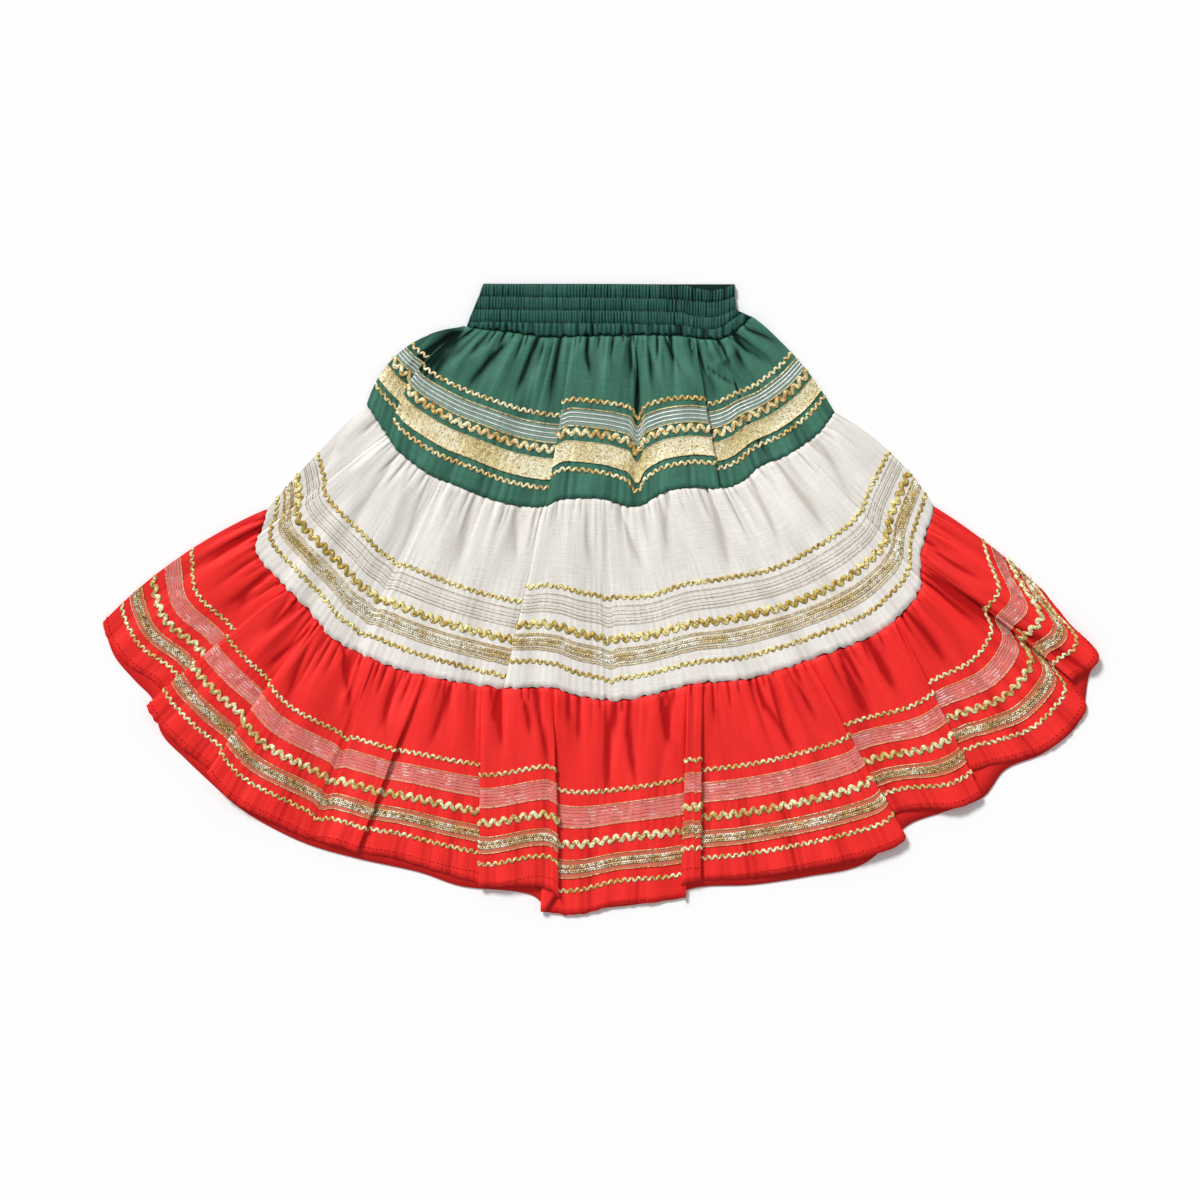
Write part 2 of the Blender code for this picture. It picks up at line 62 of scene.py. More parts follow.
# Outlines in plan, left to right
waistSeam = (
    (-96, 196), (-68, 194), (-40, 190), (4, 191), (53, 191), (68, 189), (85, 188), (93, 191), (109, 204),
)
greenEdge = (
    (-168, 141), (-151, 115), (-145, 107), (-122, 90), (-100, 81), (-70, 70), (-39, 67), (-30, 72), (0, 73),
    (26, 67), (47, 78), (67, 81), (88, 80), (102, 85), (115, 96), (136, 105), (157, 120), (169, 135),
)
whiteEdge = (
    (-240, 65), (-241, 58), (-247, 35), (-228, 12), (-207, -10), (-193, -27), (-160, -44), (-128, -54),
    (-73, -63), (-34, -63), (-15, -69), (17, -72), (69, -60), (104, -57), (130, -50), (161, -39), (199, -24),
    (217, -9), (230, 8), (231, 34), (241, 67),
)
redHem = (
    (-358, -16), (-356, -25), (-342, -45), (-317, -63), (-326, -76), (-305, -102), (-281, -122), (-282, -125),
    (-266, -143), (-232, -161), (-208, -172), (-190, -176), (-175, -181), (-169, -182), (-146, -186),
    (-107, -198), (-88, -204), (-87, -206), (-53, -205), (-36, -208), (-30, -214), (-32, -225), (-13, -226),
    (10, -220), (54, -215), (60, -204), (104, -200), (161, -191), (209, -179), (220, -170), (216, -154),
    (231, -150), (258, -149), (274, -140), (273, -122), (295, -116), (323, -107), (346, -86), (350, -75),
    (340, -58), (356, -47), (358, -38), (337, -16), (320, 6),
)
redBackHem = (
    (-358, -16), (-350, -40), (-335, -58), (-322, -72), (-316, -96), (-300, -113), (-280, -132), (-262, -148),
    (-240, -162), (-210, -176), (-175, -186), (-130, -196), (-100, -206), (-50, -212), (-34, -224), (0, -222),
    (40, -217), (70, -207), (110, -205), (150, -199), (190, -190), (222, -162), (250, -152), (276, -142),
    (292, -122), (320, -110), (345, -88), (352, -55), (358, -38), (337, -16), (320, 6),
)

# Folds: seam place, edge place, which side lies on top, lap, step of the edge, drop of the trims
# on the lower layer and on the upper one
greenFolds = (
    (-92, 195.8, -151, 115, "right", 12, 0, -4, 4),
    (-19, 190.5, -39, 67, "right", 10, 0, 5, -4),
    (29, 191, 26, 67, "valley", 0, 0, 7, 7),
    (68, 189, 86, 80, "left", 10, 0, 2, -2),
)
whiteFolds = (
    (-152, 117, -244.5, 45, "right", 14, 0, 0, 0),
    (-115, 87, -178, -35, "valley", 0, 0, 2, 2),
    (-39, 67, -68, -63, "right", 12, 0, 6, -5),
    (3, 72.5, 7, -71, "valley", 0, 0, 2, 2),
    (142, 109, 230, 14, "left", 9, 0, 2, 0),
)
redFolds = (
    (-225, 8, -326, -76, "right", 14, 15, 0, 0),
    (-203, -15, -282, -125, "right", 14, 3, 0, 0),
    (-162, -43, -208, -172, "valley", 0, 0, 3, 3),
    (-127, -54, -175, -181, "left", 10, 6, 0, 0),
    (-86, -61, -88, -205, "right", 9, 1, -3, 3),
    (-34, -63, -30, -214, "left", 10, 11, 4, -4),
    (63, -62, 57, -205, "right", 9, 12, 3, -6),
    (74, -61, 72, -205, "left", 2, 0, 3, -5),
    (148, -44, 220, -170, "left", 12, 16, 0, 0),
    (211, -14, 274, -140, "left", 12, 18, 0, 0),
    (231, 29, 340, -58, "right", 8, 0, 0, 0),
)

# Main creases, listed over the table: start x and y, end x and y, half width, height (below 0 a trough)
greenCreases = (
    (-45, 185, -63, 150, 2.2, -1.8), (-72, 180, -94, 153, 2.2, -1.4), (-58, 184, -79, 150, 3, 1.4),
    (-86, 179, -112, 164, 4, 1.5), (-27, 185, -36, 144, 2, -1.3), (-34, 184, -52, 144, 3, 1.2),
    (-104, 190, -133, 163, 2.6, -2.8), (25, 187, 24.5, 136, 0.9, -2.4), (-126, 189, -140, 179, 2, -1.4),
    (-9, 187, -7, 162, 1.6, -1.2), (9, 187, 7, 169, 1.5, -1.2), (0, 184, 2, 148, 4, 0.8),
    (37, 184, 43, 155, 3.5, 1.2),
    (49, 187, 58, 162, 1.8, -1.3), (61, 184, 70, 150, 3, 1.0), (68, 184, 82, 145, 2.4, -2.0),
    (81, 179, 97, 155, 3, 1.0), (97, 191, 124, 174, 2, -2.4), (107, 194, 137, 179, 2, -1.4),
    (94, 189, 108, 176, 2, -1.6), (79, 166, 97, 180, 1.8, 1.2),
    (80, 167, 96, 155, 0.9, -1.1), (96, 155, 106, 130, 0.9, -1.0), (106, 130, 119, 102, 0.9, -0.8),
)
whiteCreases = (
    (-155, 94, -179, 50, 2.5, -1.1), (-144, 86, -162, 29, 5, 1.1), (-122, 85, -138, 40, 2.5, -1.1),
    (-108, 79, -122, 22, 5, 1.0), (-94, 78, -107, 18, 3, -1.0), (-58, 68, -63, 22, 2.5, -1.0),
    (-72, 68, -83, 14, 5, 0.9), (-25, 68, -29, 14, 5, 0.9), (-9, 68, -6, 22, 2, -1.0),
    (4, 68, 4, 7, 3, 1.2), (17, 65, 29, 22, 2.4, -1.6), (30, 68, 36, 14, 4, 1.1),
    (46, 76, 49, 29, 2.2, -1.0), (61, 76, 72, 22, 5, 0.9), (76, 78, 92, 25, 2.4, -1.7),
    (90, 76, 109, 29, 5, 1.1), (107, 86, 128, 36, 2.4, -1.4), (121, 94, 144, 43, 5, 1.0),
    (131, 99, 158, 50, 2.5, -1.3), (158, 108, 184, 65, 2.5, -1.0), (173, 112, 198, 72, 5, 0.9),
    (-194, 108, -212, 79, 3, -0.9),
)
redCreases = (
    (-243, 18, -270, -11, 3, -2.0), (-252, 36, -295, 18, 4, 1.3), (-225, 4, -240, -25, 3, -1.5),
    (-216, -14, -259, -47, 6, 1.3), (-203, -25, -227, -72, 2.5, -1.6), (-191, -36, -216, -86, 6, 1.2),
    (-183, -36, -182, -95, 2.2, -1.8), (-166, -47, -171, -94, 4, 1.2), (-148, -54, -153, -97, 2.2, -1.5),
    (-137, -58, -145, -97, 3, 1.0), (-112, -65, -122, -104, 2, -1.3), (-101, -65, -108, -108, 4, 1.0),
    (-72, -65, -76, -86, 1.8, -1.5), (-61, -65, -65, -115, 5, 0.9), (-45, -65, -40, -122, 2.4, -1.6),
    (-16, -72, -14, -101, 2, -1.0), (-4, -72, -6, -137, 5, 0.9), (9, -72, 9, -137, 1.6, -1.3),
    (15, -72, 16, -137, 2, 0.8), (23, -72, 24, -133, 1.5, -1.2), (43, -65, 49, -108, 2, -1.3),
    (52, -65, 50, -130, 3, 0.9), (112, -58, 140, -115, 2.4, -1.2), (101, -61, 115, -108, 5, 0.9),
    (137, -50, 153, -86, 2, -1.1), (162, -43, 180, -94, 4, 1.1), (173, -40, 194, -83, 2.2, -1.7),
    (189, -29, 212, -65, 2.5, -1.4), (202, -22, 234, -65, 4, 1.3), (220, -9, 248, -47, 2.5, -1.6),
    (234, 0, 277, -36, 6, 1.3), (241, 7, 281, -18, 2.5, -1.2), (236, 42, 276, 14, 2.5, -1.4),
    (256, 12, 343, -50, 3.2, -3.4), (86, -58, 84, -92, 2, -1.4), (127, -52, 139, -90, 2.2, 1.0),
    (-33, -64, -31, -100, 1.8, -1.6), (-57, -65, -52, -98, 1.6, -1.3), (-212, -22, -238, -48, 2, -1.6),
)

# Shades under an overhang or in a deep fold, as the creases but with a darkness
# These are painted shade, added to the cloth's hollowShade; below 0 a fold is painted lighter
greenShades = (
    (-106, 190, -130, 160, 6, 0.8), (-118, 190, -146, 150, 11, 0.18), (-99, 194, -112, 184, 4, 0.5),
    (24, 187, 25, 128, 1.2, 0.75), (-36, 188, -41, 176, 2, 0.4), (97, 190, 104, 168, 2, 0.6),
    (82, 176, 106, 150, 2, 0.3),
)
whiteShades = (
    (-60, 66, -72, 20, 4, 0.25), (84, 76, 100, 30, 3, 0.25), (-165, 96, -182, 60, 3, 0.25),
    (133, 98, 160, 52, 3, 0.25),
)
redShades = (
    (-125, -60, -172, -182, 5, -0.5), (250, 16, 345, -50, 4.5, 0.75), (172, -40, 192, -84, 5, 0.22),
    (-220, -8, -244, -38, 3, 0.3), (66, -66, 68, -130, 1.5, 0.4), (232, 26, 262, 6, 3, 0.4),
    (-60, -66, -58, -84, 2, 0.3),
)

# Trims: name, height of the middle above the edge, width
greenTrims = (("upper_ricrac", 68, 5.5), ("sheer_ribbon", 55.4, 14.0), ("middle_ricrac", 44.6, 8.4),
              ("glitter_ribbon", 31, 15.0), ("lower_ricrac", 18, 5.5))
whiteTrims = (("upper_ricrac", 70, 5.5), ("sheer_ribbon", 58, 14.0), ("middle_ricrac", 42, 8.6),
              ("metallic_braid", 29.5, 12.0), ("lower_ricrac", 15, 5.5))
redTrims = (("upper_ricrac", 81, 5.5), ("sheer_ribbon", 65, 14.4), ("middle_ricrac", 47.5, 9.0),
            ("metallic_braid", 32, 12.0), ("lower_ricrac", 18.5, 5.5))

# Bulges: how far the left and right sides bow out. Puckers and rolls: how many and how high
tiers = {
    "green": {
        "seam": waistSeam, "edge": greenEdge, "backEdge": greenEdge, "depth": 118, "bulges": (15.5, 5.0),
        "folds": greenFolds, "creases": greenCreases, "shades": greenShades, "trims": greenTrims,
        "columnStep": 11.0, "puckers": 40, "pucker": 1.5, "rolls": 30, "roll": 1.9, "scallop": 0.3, "seed": 4,
    },
    "white": {
        "seam": greenEdge, "edge": whiteEdge, "backEdge": whiteEdge, "depth": 136, "bulges": (1.5, 6.5),
        "folds": whiteFolds, "creases": whiteCreases, "shades": whiteShades, "trims": whiteTrims,
        "columnStep": 13.0, "puckers": 96, "pucker": 1.2, "rolls": 44, "roll": 1.0, "scallop": 0.35, "seed": 7,
    },
    "red": {
        "seam": whiteEdge, "edge": redHem, "backEdge": redBackHem, "depth": 141, "bulges": (7.5, 2.5),
        "folds": redFolds, "creases": redCreases, "shades": redShades, "trims": redTrims,
        "columnStep": 18.0, "puckers": 130, "pucker": 1.6, "rolls": 64, "roll": 1.6, "scallop": 0.12,
        "seed": 11,
    },
}


# A smooth line through points, as closely spaced ones
def roundedLine(points, perSpan=10):
    line = np.array(points, float)
    line = np.vstack([2 * line[0] - line[1], line, 2 * line[-1] - line[-2]])
    found = []
    for i in range(1, len(line) - 2):
        before, start, end, after = line[i - 1:i + 3]
        span = np.linalg.norm(end - start)
        leave = (end - before) * span / (np.linalg.norm(start - before) + span)
        arrive = (after - start) * span / (np.linalg.norm(after - end) + span)
        t = np.linspace(0, 1, perSpan, endpoint=False)[:, None]
        found.append((2 * t ** 3 - 3 * t ** 2 + 1) * start + (t ** 3 - 2 * t ** 2 + t) * leave
                     + (3 * t ** 2 - 2 * t ** 3) * end + (t ** 3 - t ** 2) * arrive)
    found.append(line[-2:-1])
    return np.vstack(found)


class Outline:
    def __init__(self, points):
        self.spots = roundedLine(points)
        self.places = alongLine(self.spots)
        self.length = self.places[-1]

    def at(self, place):
        return np.stack([np.interp(place, self.places, self.spots[:, k]) for k in (0, 1)], axis=-1)

    def nearest(self, x, y):
        return self.places[np.argmin(np.hypot(self.spots[:, 0] - x, self.spots[:, 1] - y))]


def alongLine(spots):
    return np.concatenate([[0.0], np.cumsum(np.linalg.norm(np.diff(spots, axis=0), axis=1))])


def unit(vectors):
    return vectors / np.maximum(np.linalg.norm(vectors, axis=-1, keepdims=True), 1e-9)


def smoothStep(value):
    value = np.clip(value, 0, 1)
    return value * value * (3 - 2 * value)


# The columns of one fold, left to right, each (seam place, edge place, layer, height, shown, drop,
# how far its hem runs straight on past that place, under the fold)
def foldColumns(fold, seam, edge):
    seamX, seamY, edgeX, edgeY, over, lap, step, lowDrop, topDrop = fold
    atSeam, atEdge = seam.nearest(seamX, seamY), edge.nearest(edgeX, edgeY)
    low, turned, high = layout["low"], layout["turned"], layout["high"]
    if over == "valley":
        bank = 1.0 + 2.4 * min(1, lowDrop / 10)
        half = ((2.2, 0.15, 1.05), (5.5, 0.8, 0.3), (8, 1, 0))
        shape = [(-away, share, fall) for away, share, fall in half[::-1]] + list(half)
        return [(atSeam + 0.45 * away, atEdge + away, share, low + bank * share, 1, fall * lowDrop, 0)
                for away, share, fall in shape]
    side = 1 if over == "right" else -1
    seamLap, soft, reach, bend = 3.0, min(3.5, max(1.2, 0.4 * lap)), 2.0, 0.7
    lowEdge = atEdge - side * (step + reach)
    under = reach + lap
    middleDrop = 0.5 * (lowDrop + topDrop)
    columns = [
        (-1.2, lowEdge, 0, low, 1, lowDrop, 0),
        (seamLap - bend, lowEdge, 0, low, 0, lowDrop, under - soft),
        (seamLap, lowEdge, 0, low + 0.4, 0, lowDrop, under),
        (seamLap, lowEdge, 1, turned - 0.4, 0, middleDrop, under),
        (seamLap - bend, lowEdge, 1, turned, 0, middleDrop, under - soft),
        (bend, atEdge + side * soft, 1, turned, 0, topDrop, 0),
        (0, atEdge, 1, turned + 0.3, 0, topDrop, 0),
        (0, atEdge, 2, high - 0.3, 1, topDrop, 0),
        (bend, atEdge + side * soft, 2, high, 1, topDrop, 0),
        (seamLap + 1.2, atEdge + side * (lap + reach), 2, high, 1, topDrop, 0),
    ]
    return [(atSeam + side * off, *rest, side * beyond) for off, *rest, beyond in columns[::side]]


# Every column of a front panel, with the cloth between the folds billowing a little
def frontColumns(tier, seam, edge):
    low = layout["low"]
    groups = [foldColumns(fold, seam, edge) for fold in tier["folds"]]
    columns = [(0, 0, 0, low, 1, 0, 0)]
    for group in groups + [[(seam.length, edge.length, 0, low, 1, 0, 0)]]:
        first, last = np.array(columns[-1], float), np.array(group[0], float)
        gap = last[1] - first[1]
        count = max(1 if gap < 8 else 2, round(gap / tier["columnStep"]))
        for i in range(1, count + 1):
            share = i / (count + 1)
            column = first + (last - first) * share
            billow = min(1.2, 0.12 * gap) * math.sin(math.pi * share)
            column[3] = first[3] + (last[3] - first[3]) * smoothStep(share) + billow
            column[2] = 0.5 + 0.5 * smoothStep(share) * (last[2] - first[2])
            column[5] = first[5] * (1 - share) ** 2 + last[5] * share ** 2
            columns.append(tuple(column))
        columns += group
    return np.array(columns, float)


# Lower ends of the columns in plan: on the edge, or straight on from it under a fold
def lowerEnds(columns, edge):
    place, beyond = columns[:, 1], columns[:, 6]
    onEdge = edge.at(place)
    run = unit(onEdge - edge.at(place - 8 * np.sign(beyond)))
    return onEdge + run * np.abs(beyond)[:, None]


# Corner cutting, which rounds the folds
def rounded(columns, times=3):
    for _ in range(times):
        near = 0.75 * columns[:-1] + 0.25 * columns[1:]
        far = 0.25 * columns[:-1] + 0.75 * columns[1:]
        middle = np.stack([near, far], axis=1).reshape(-1, columns.shape[1])
        columns = np.vstack([columns[:1], middle, columns[-1:]])
    return columns


def bulges(tier, seam, edge, share):
    run = edge.at(0.0) - seam.at(0.0)
    outLeft = np.array([run[1], -run[0]]) / np.linalg.norm(run)
    run = edge.at(edge.length) - seam.at(seam.length)
    outRight = np.array([-run[1], run[0]]) / np.linalg.norm(run)
    reach = 0.22      # share of the seam that bows out with a side
    left = np.clip(1 - share / reach, 0, 1)[:, None] ** 2
    right = np.clip(1 - (1 - share) / reach, 0, 1)[:, None] ** 2
    return tier["bulges"][0] * left * outLeft + tier["bulges"][1] * right * outRight


def crest(away, half, skew):
    away = away / half
    away = away / np.where(away < 0, 1 - skew, 1 + skew)
    return np.exp(-0.8 * np.abs(away) ** 1.5)


# Height of the seeded gathers: short grooves that leave the seam, rolls that fan out from it with one
# steep side, and broad soft folds over the whole tier
def gatherField(tier, width, wide, depth, seed=0):
    rng = np.random.RandomState(tier["seed"] + seed)
    down = depth[None, :]
    rows = []
    for i in range(tier["puckers"]):
        place = (i + rng.uniform(-0.2, 1.2)) / tier["puckers"]
        height = -tier["pucker"] * rng.uniform(0.4, 1.3)
        reach = rng.choice([0.06, 0.09, 0.13, 0.22]) * rng.uniform(0.8, 1.2)
        rows.append((place, rng.uniform(0.5, 0.9), height, reach, rng.uniform(-3, 3), 0.3))
    for i in range(tier["rolls"]):
        place = (i + rng.uniform(-0.1, 1.1)) / tier["rolls"]
        height = tier["roll"] * rng.uniform(0.35, 1.2) * rng.choice([1, 1, 1, -0.7])
        reach = rng.uniform(0.18, 0.55)
        rows.append((place, rng.uniform(1.2, 2.6), height, reach, rng.uniform(-9, 9), rng.choice([-0.6, 0.6])))
    for i in range(tier["rolls"] // 2):
        place, half, height = rng.uniform(0, 1), rng.uniform(4, 9), rng.uniform(-0.8, 1.0)
        rows.append((place, half, height, 1.5, rng.uniform(-6, 6), 0.2))
    field = 1.3 * smoothStep((0.5 - down) / 0.5) * smoothStep(down / 0.02) + 0 * width[:, None]
    for place, half, height, reach, lean, skew in rows:
        centre = place * wide + lean * down * (1 + 0.4 * np.sin(6 * down + 9 * place))
        fade = smoothStep((reach - down) / (0.8 * reach)) * (0.7 + 0.3 * smoothStep(down / 0.03))
        field += height * fade * crest(width[:, None] - centre, half * (1 + 1.6 * down), skew)
    return field


# Height of the creases placed over the table, or darkness of the shades
def handField(rows, plan):
    field = np.zeros(plan.shape[:2])
    for startX, startY, endX, endY, half, height in rows:
        start, run = np.array([startX, startY]), np.array([endX - startX, endY - startY])
        long = np.hypot(*run)
        offset = plan - start
        along = offset @ run / long ** 2
        away = (offset[:, :, 0] * run[1] - offset[:, :, 1] * run[0]) / long
        away = away + 0.05 * long * np.sin(2.5 * along + startX)
        fade = smoothStep((1.2 - along) / 0.6) * smoothStep((along + 0.25) / 0.25)
        spread = half * (1 + 0.7 * np.clip(along, 0, 1.2))
        field += height * fade * crest(away, spread, 0.4 * math.sin(3 * startX))
    return field


# Ripples that keep on to the edge, where the sewn trims hold the cloth in small waves
def trimRipples(tier, width, depth):
    rng = np.random.RandomState(tier["seed"] + 90)
    field = 0
    for i in range(12):
        long = rng.uniform(4, 9) if i % 2 else rng.uniform(11, 46)
        turn, tilt = rng.uniform(0, roughTurn), rng.uniform(-2.5, 2.5)
        phase = roughTurn * width[:, None] / long + turn + tilt * depth[None, :] * 3
        field = field + (0.02 + 0.0045 * long) * np.sin(phase)
    return field * smoothStep((depth - 0.25) / 0.3)[None, :]


def gridNormals(points):
    return unit(np.cross(np.gradient(points, axis=1), np.gradient(points, axis=0)))


# A panel's grid of points, columns by rows, with what the trims and materials need
def panelGrid(tier, front, upper=None):
    seam = Outline(tier["seam"])
    edge = Outline(tier["edge"] if front else tier["backEdge"])
    upperRows, lowerRows = layout["frontRows" if front else "backRows"]
    fine = layout["fine"]
    depth = np.concatenate([np.linspace(0, fine, upperRows)[:-1], np.linspace(fine, 1, lowerRows)])
    if front:
        columns = frontColumns(tier, seam, edge)
        columns = rounded(np.hstack([columns, lowerEnds(columns, edge)]))
    else:
        share = np.linspace(0, 1, layout["backColumns"])
        none = 0 * share
        flat = none + layout["backHeight"]
        columns = np.stack([seam.length * share, edge.length * share, none, flat, none + 1] + [none] * 4, 1)
    seamAt, edgeAt, layer, height, shown, drop, beyond = columns.T[:7]
    top, bottom = seam.at(seamAt), edge.at(edgeAt)
    straight = smoothStep(np.abs(beyond))[:, None]
    bottom = bottom * (1 - straight) + columns[:, 7:] * straight
    run = bottom - top
    length = np.linalg.norm(run, axis=1)
    start = -layout["tuck"] / length if upper is not None or not front else 0 * length
    share = start[:, None] + (1 - start[:, None]) * depth[None, :]
    plan = top[:, None] + run[:, None] * share[:, :, None]
    plan = plan + (bulges(tier, seam, edge, seamAt / seam.length)[:, None]
                   * (4 * depth * (1 - depth))[None, :, None])
    if front:
        rng = np.random.RandomState(tier["seed"] + 30)
        waves = [(rng.uniform(4.5, 17), rng.uniform(0, roughTurn)) for _ in range(6)]
        wavy = sum(np.sin(roughTurn * edgeAt / long + turn) for long, turn in waves)
        scallop = tier["scallop"] * shown / length * wavy
        plan = plan + run[:, None] * (scallop[:, None] * depth[None, :] ** 9)[:, :, None]
        base = np.full(len(seamAt), layout["atWaist"])
        if upper is not None:
            base = np.interp(seamAt, *upper) - layout["underEdge"]
        atSeam = base + (layer - 0.5) * layout["seamLayer"]
        opened = smoothStep(depth / layout["openBy"])[None, :]
        up = atSeam[:, None] + (height - atSeam)[:, None] * opened
    else:
        up = height[:, None] + 0 * depth[None, :]
    points = np.dstack([plan, up])
    width = alongLine(top)
    field = gatherField(tier, width, width[-1], depth, 0 if front else 50)
    if front:
        field = field + trimRipples(tier, alongLine(bottom), depth) + 1.1 * handField(tier["creases"], plan)
        calm = 0.1 + 0.9 * smoothStep(shown)
        points = points + gridNormals(points) * (field * calm[:, None])[:, :, None]
        above = points[:, :, 2] - layout["floor"]      # a soft floor
        points[:, :, 2] = layout["floor"] + 0.5 * (above + np.sqrt(above ** 2 + 0.08))
        points[:, 0, 2] = np.clip(atSeam - 1.2, 0.5, points[:, 0, 2])      # the top row turns down
    else:
        points[:, :, 2] += np.clip(0.35 * field, -0.15, 0.4)
    # painted shade from the listed shades
    shade = handField(tier["shades"], plan)
    points[:, :, 0] -= layout["middle"][0]
    points[:, :, 1] -= layout["middle"][1]
    if not front:
        points, drop = points[::-1], drop[::-1]
    middleRow = points[:, len(depth) // 2]
    return {
        "points": points, "normals": gridNormals(points), "depth": depth, "drop": drop, "tier": tier,
        "along": alongLine(middleRow), "edgeAt": edgeAt, "edgeUp": points[:, -1, 2], "shown": shown,
        "shade": shade, "lift": 1.0 if front else 0.35,
        "area": gridArea(points), "width": alongLine(points[:, -1])[-1],
    }


def gridArea(points):
    across = np.linalg.norm(np.diff(points, axis=0), axis=2)
    down = np.linalg.norm(np.diff(points, axis=1), axis=2)
    return float((across[:, :-1] * down[:-1]).sum())


# Points on the panel at a depth for each column, lifted off its face
def onPanel(grid, depths, lift):
    spots = np.interp(depths, grid["depth"], np.arange(len(grid["depth"])))
    low = np.clip(spots.astype(int), 0, len(grid["depth"]) - 2)
    part = (spots - low)[:, :, None]
    rows = np.arange(len(low))[:, None]

    def blend(values):
        return values[rows, low] * (1 - part) + values[rows, low + 1] * part

    return blend(grid["points"]) + blend(grid["normals"]) * lift * grid["lift"]


def trimDepths(grid, height, half, count):
    offsets = np.linspace(half, -half, count) if count > 1 else np.array([0.0])
    return 1 - (height + offsets[None, :] - grid["drop"][:, None]) / grid["tier"]["depth"]


def newPiece(name, data):
    piece = bpy.data.objects.new(name, data)
    bpy.context.scene.collection.objects.link(piece)
    return piece


# A mesh from a grid of points, with its cloth coordinates in metres as UV
def gridMesh(name, points, along, across, material, attributes=None):
    count, rows = points.shape[:2]
    index = np.arange(count * rows).reshape(count, rows)
    corners = index[:-1, :-1], index[:-1, 1:], index[1:, 1:], index[1:, :-1]
    faces = np.stack(corners, -1).reshape(-1, 4)
    mesh = bpy.data.meshes.new(name)
    mesh.from_pydata((points.reshape(-1, 3) * mm).tolist(), [], faces.tolist())
    uv = np.dstack(np.broadcast_arrays(along[:, None], across[None, :])).reshape(-1, 2)
    layer = mesh.uv_layers.new(name="cloth")
    layer.data.foreach_set("uv", uv[faces.reshape(-1)].astype(np.float32).ravel())
    for label, values in (attributes or {}).items():
        made = mesh.attributes.new(label, "FLOAT", "POINT")
        made.data.foreach_set("value", values.ravel().astype(np.float32))
    mesh.polygons.foreach_set("use_smooth", [True] * len(mesh.polygons))
    mesh.materials.append(material)
    return newPiece(name, mesh)


# Puts a piece's modifiers into its mesh
def settle(piece):
    graph = bpy.context.evaluated_depsgraph_get()
    mesh = bpy.data.meshes.new_from_object(piece.evaluated_get(graph))
    mesh.name = piece.name
    piece.modifiers.clear()
    piece.data = mesh
    return piece


def thicken(piece, thickness):
    solid = piece.modifiers.new("thickness", "SOLIDIFY")
    solid.thickness = thickness * mm
    solid.offset = 0
    return settle(piece)


# Mean of each row's values over the columns nearby
def nearbyMean(values, reach):
    kernel = np.hanning(2 * reach + 3)[1:-1]
    kernel /= kernel.sum()
    padded = np.pad(values, ((reach, reach), (0, 0)), mode="edge")
    return np.stack([np.convolve(padded[:, k], kernel, "valid") for k in range(values.shape[1])], 1)


# How deep each point lies in a trough, from 0 on a crest to 1: a painted shade that darkens the cloth's colour
# in the troughs
def hollows(points):
    up = points[:, :, 2]
    return np.clip(0.35 + 0.9 * (nearbyMean(up, 4) - up) + 0.45 * (nearbyMean(up, 16) - up), 0, 1)


# A node tree with its named sockets, each with its default or its kind, and where values come in and leave
def startTree(name, kind, inputs, outputs):
    tree = bpy.data.node_groups.new(name, kind)
    kinds = {float: "Float", int: "Int"}
    for way, rows in (("INPUT", inputs), ("OUTPUT", outputs)):
        for label, value in rows.items():
            form = kinds.get(type(value), value)
            made = tree.interface.new_socket(label, in_out=way, socket_type="NodeSocket" + form)
            if value != form:
                made.default_value = value
    return tree, tree.nodes.new("NodeGroupInput").outputs, tree.nodes.new("NodeGroupOutput")


# Sets or links a node's inputs
def fill(tree, node, values):
    for key, value in values.items():
        if isinstance(value, bpy.types.NodeSocket):
            tree.links.new(value, node.inputs[key])
        else:
            node.inputs[key].default_value = value
    return node.outputs


def add(tree, kind, values=None, **settings):
    node = tree.nodes.new(kind)
    for key, value in settings.items():
        setattr(node, key, value)
    return fill(tree, node, values or {})


def maths(tree, operation, *values):
    return add(tree, "ShaderNodeMath", dict(enumerate(values)), operation=operation)[0]


def mixed(tree, share, first, last):
    return add(tree, "ShaderNodeMix", {0: share, 6: first, 7: last}, data_type="RGBA")[2]


def remapped(tree, value, low, high, start=0.0, end=1.0):
    return add(tree, "ShaderNodeMapRange", {0: value, 1: low, 2: high, 3: start, 4: end})[0]


def noise(tree, place, scale, detail):
    return add(tree, "ShaderNodeTexNoise", {"Vector": place, "Scale": scale, "Detail": detail})[0]


# Noise drawn out along the threads, as slubs and streaks are
def streaks(tree, cloth, scales):
    stretched = add(tree, "ShaderNodeVectorMath", {0: cloth, 1: scales}, operation="MULTIPLY")
    return noise(tree, stretched[0], 1.0, 3.0)


# Shared effect: a plain weave, over and under, with uneven threads
def weaveGroup():
    inputs = {"Cloth": "Vector", "Threads per metre": 2200.0, "Unevenness": 0.4}
    tree, come, leave = startTree("plainWeave", "ShaderNodeTree", inputs, {"Height": 0.0, "Tone": 0.0})
    cloth = come["Cloth"]
    split = add(tree, "ShaderNodeSeparateXYZ", {0: cloth})
    turns = maths(tree, "MULTIPLY", come["Threads per metre"], wholeTurn / 2)
    warp = maths(tree, "SINE", maths(tree, "MULTIPLY", split[0], turns))
    weft = maths(tree, "SINE", maths(tree, "MULTIPLY", split[1], turns))
    over = maths(tree, "MULTIPLY", warp, weft)
    slubs = [streaks(tree, cloth, scales) for scales in ((900.0, 60.0, 0.0), (60.0, 900.0, 0.0))]
    uneven = maths(tree, "SUBTRACT", maths(tree, "ADD", *slubs), 1.0)
    uneven = maths(tree, "MULTIPLY", uneven, come["Unevenness"])
    height = maths(tree, "ADD", over, maths(tree, "MULTIPLY", uneven, 3.0))
    fill(tree, leave, {"Height": height, "Tone": maths(tree, "ADD", 0.5, uneven)})
    return tree
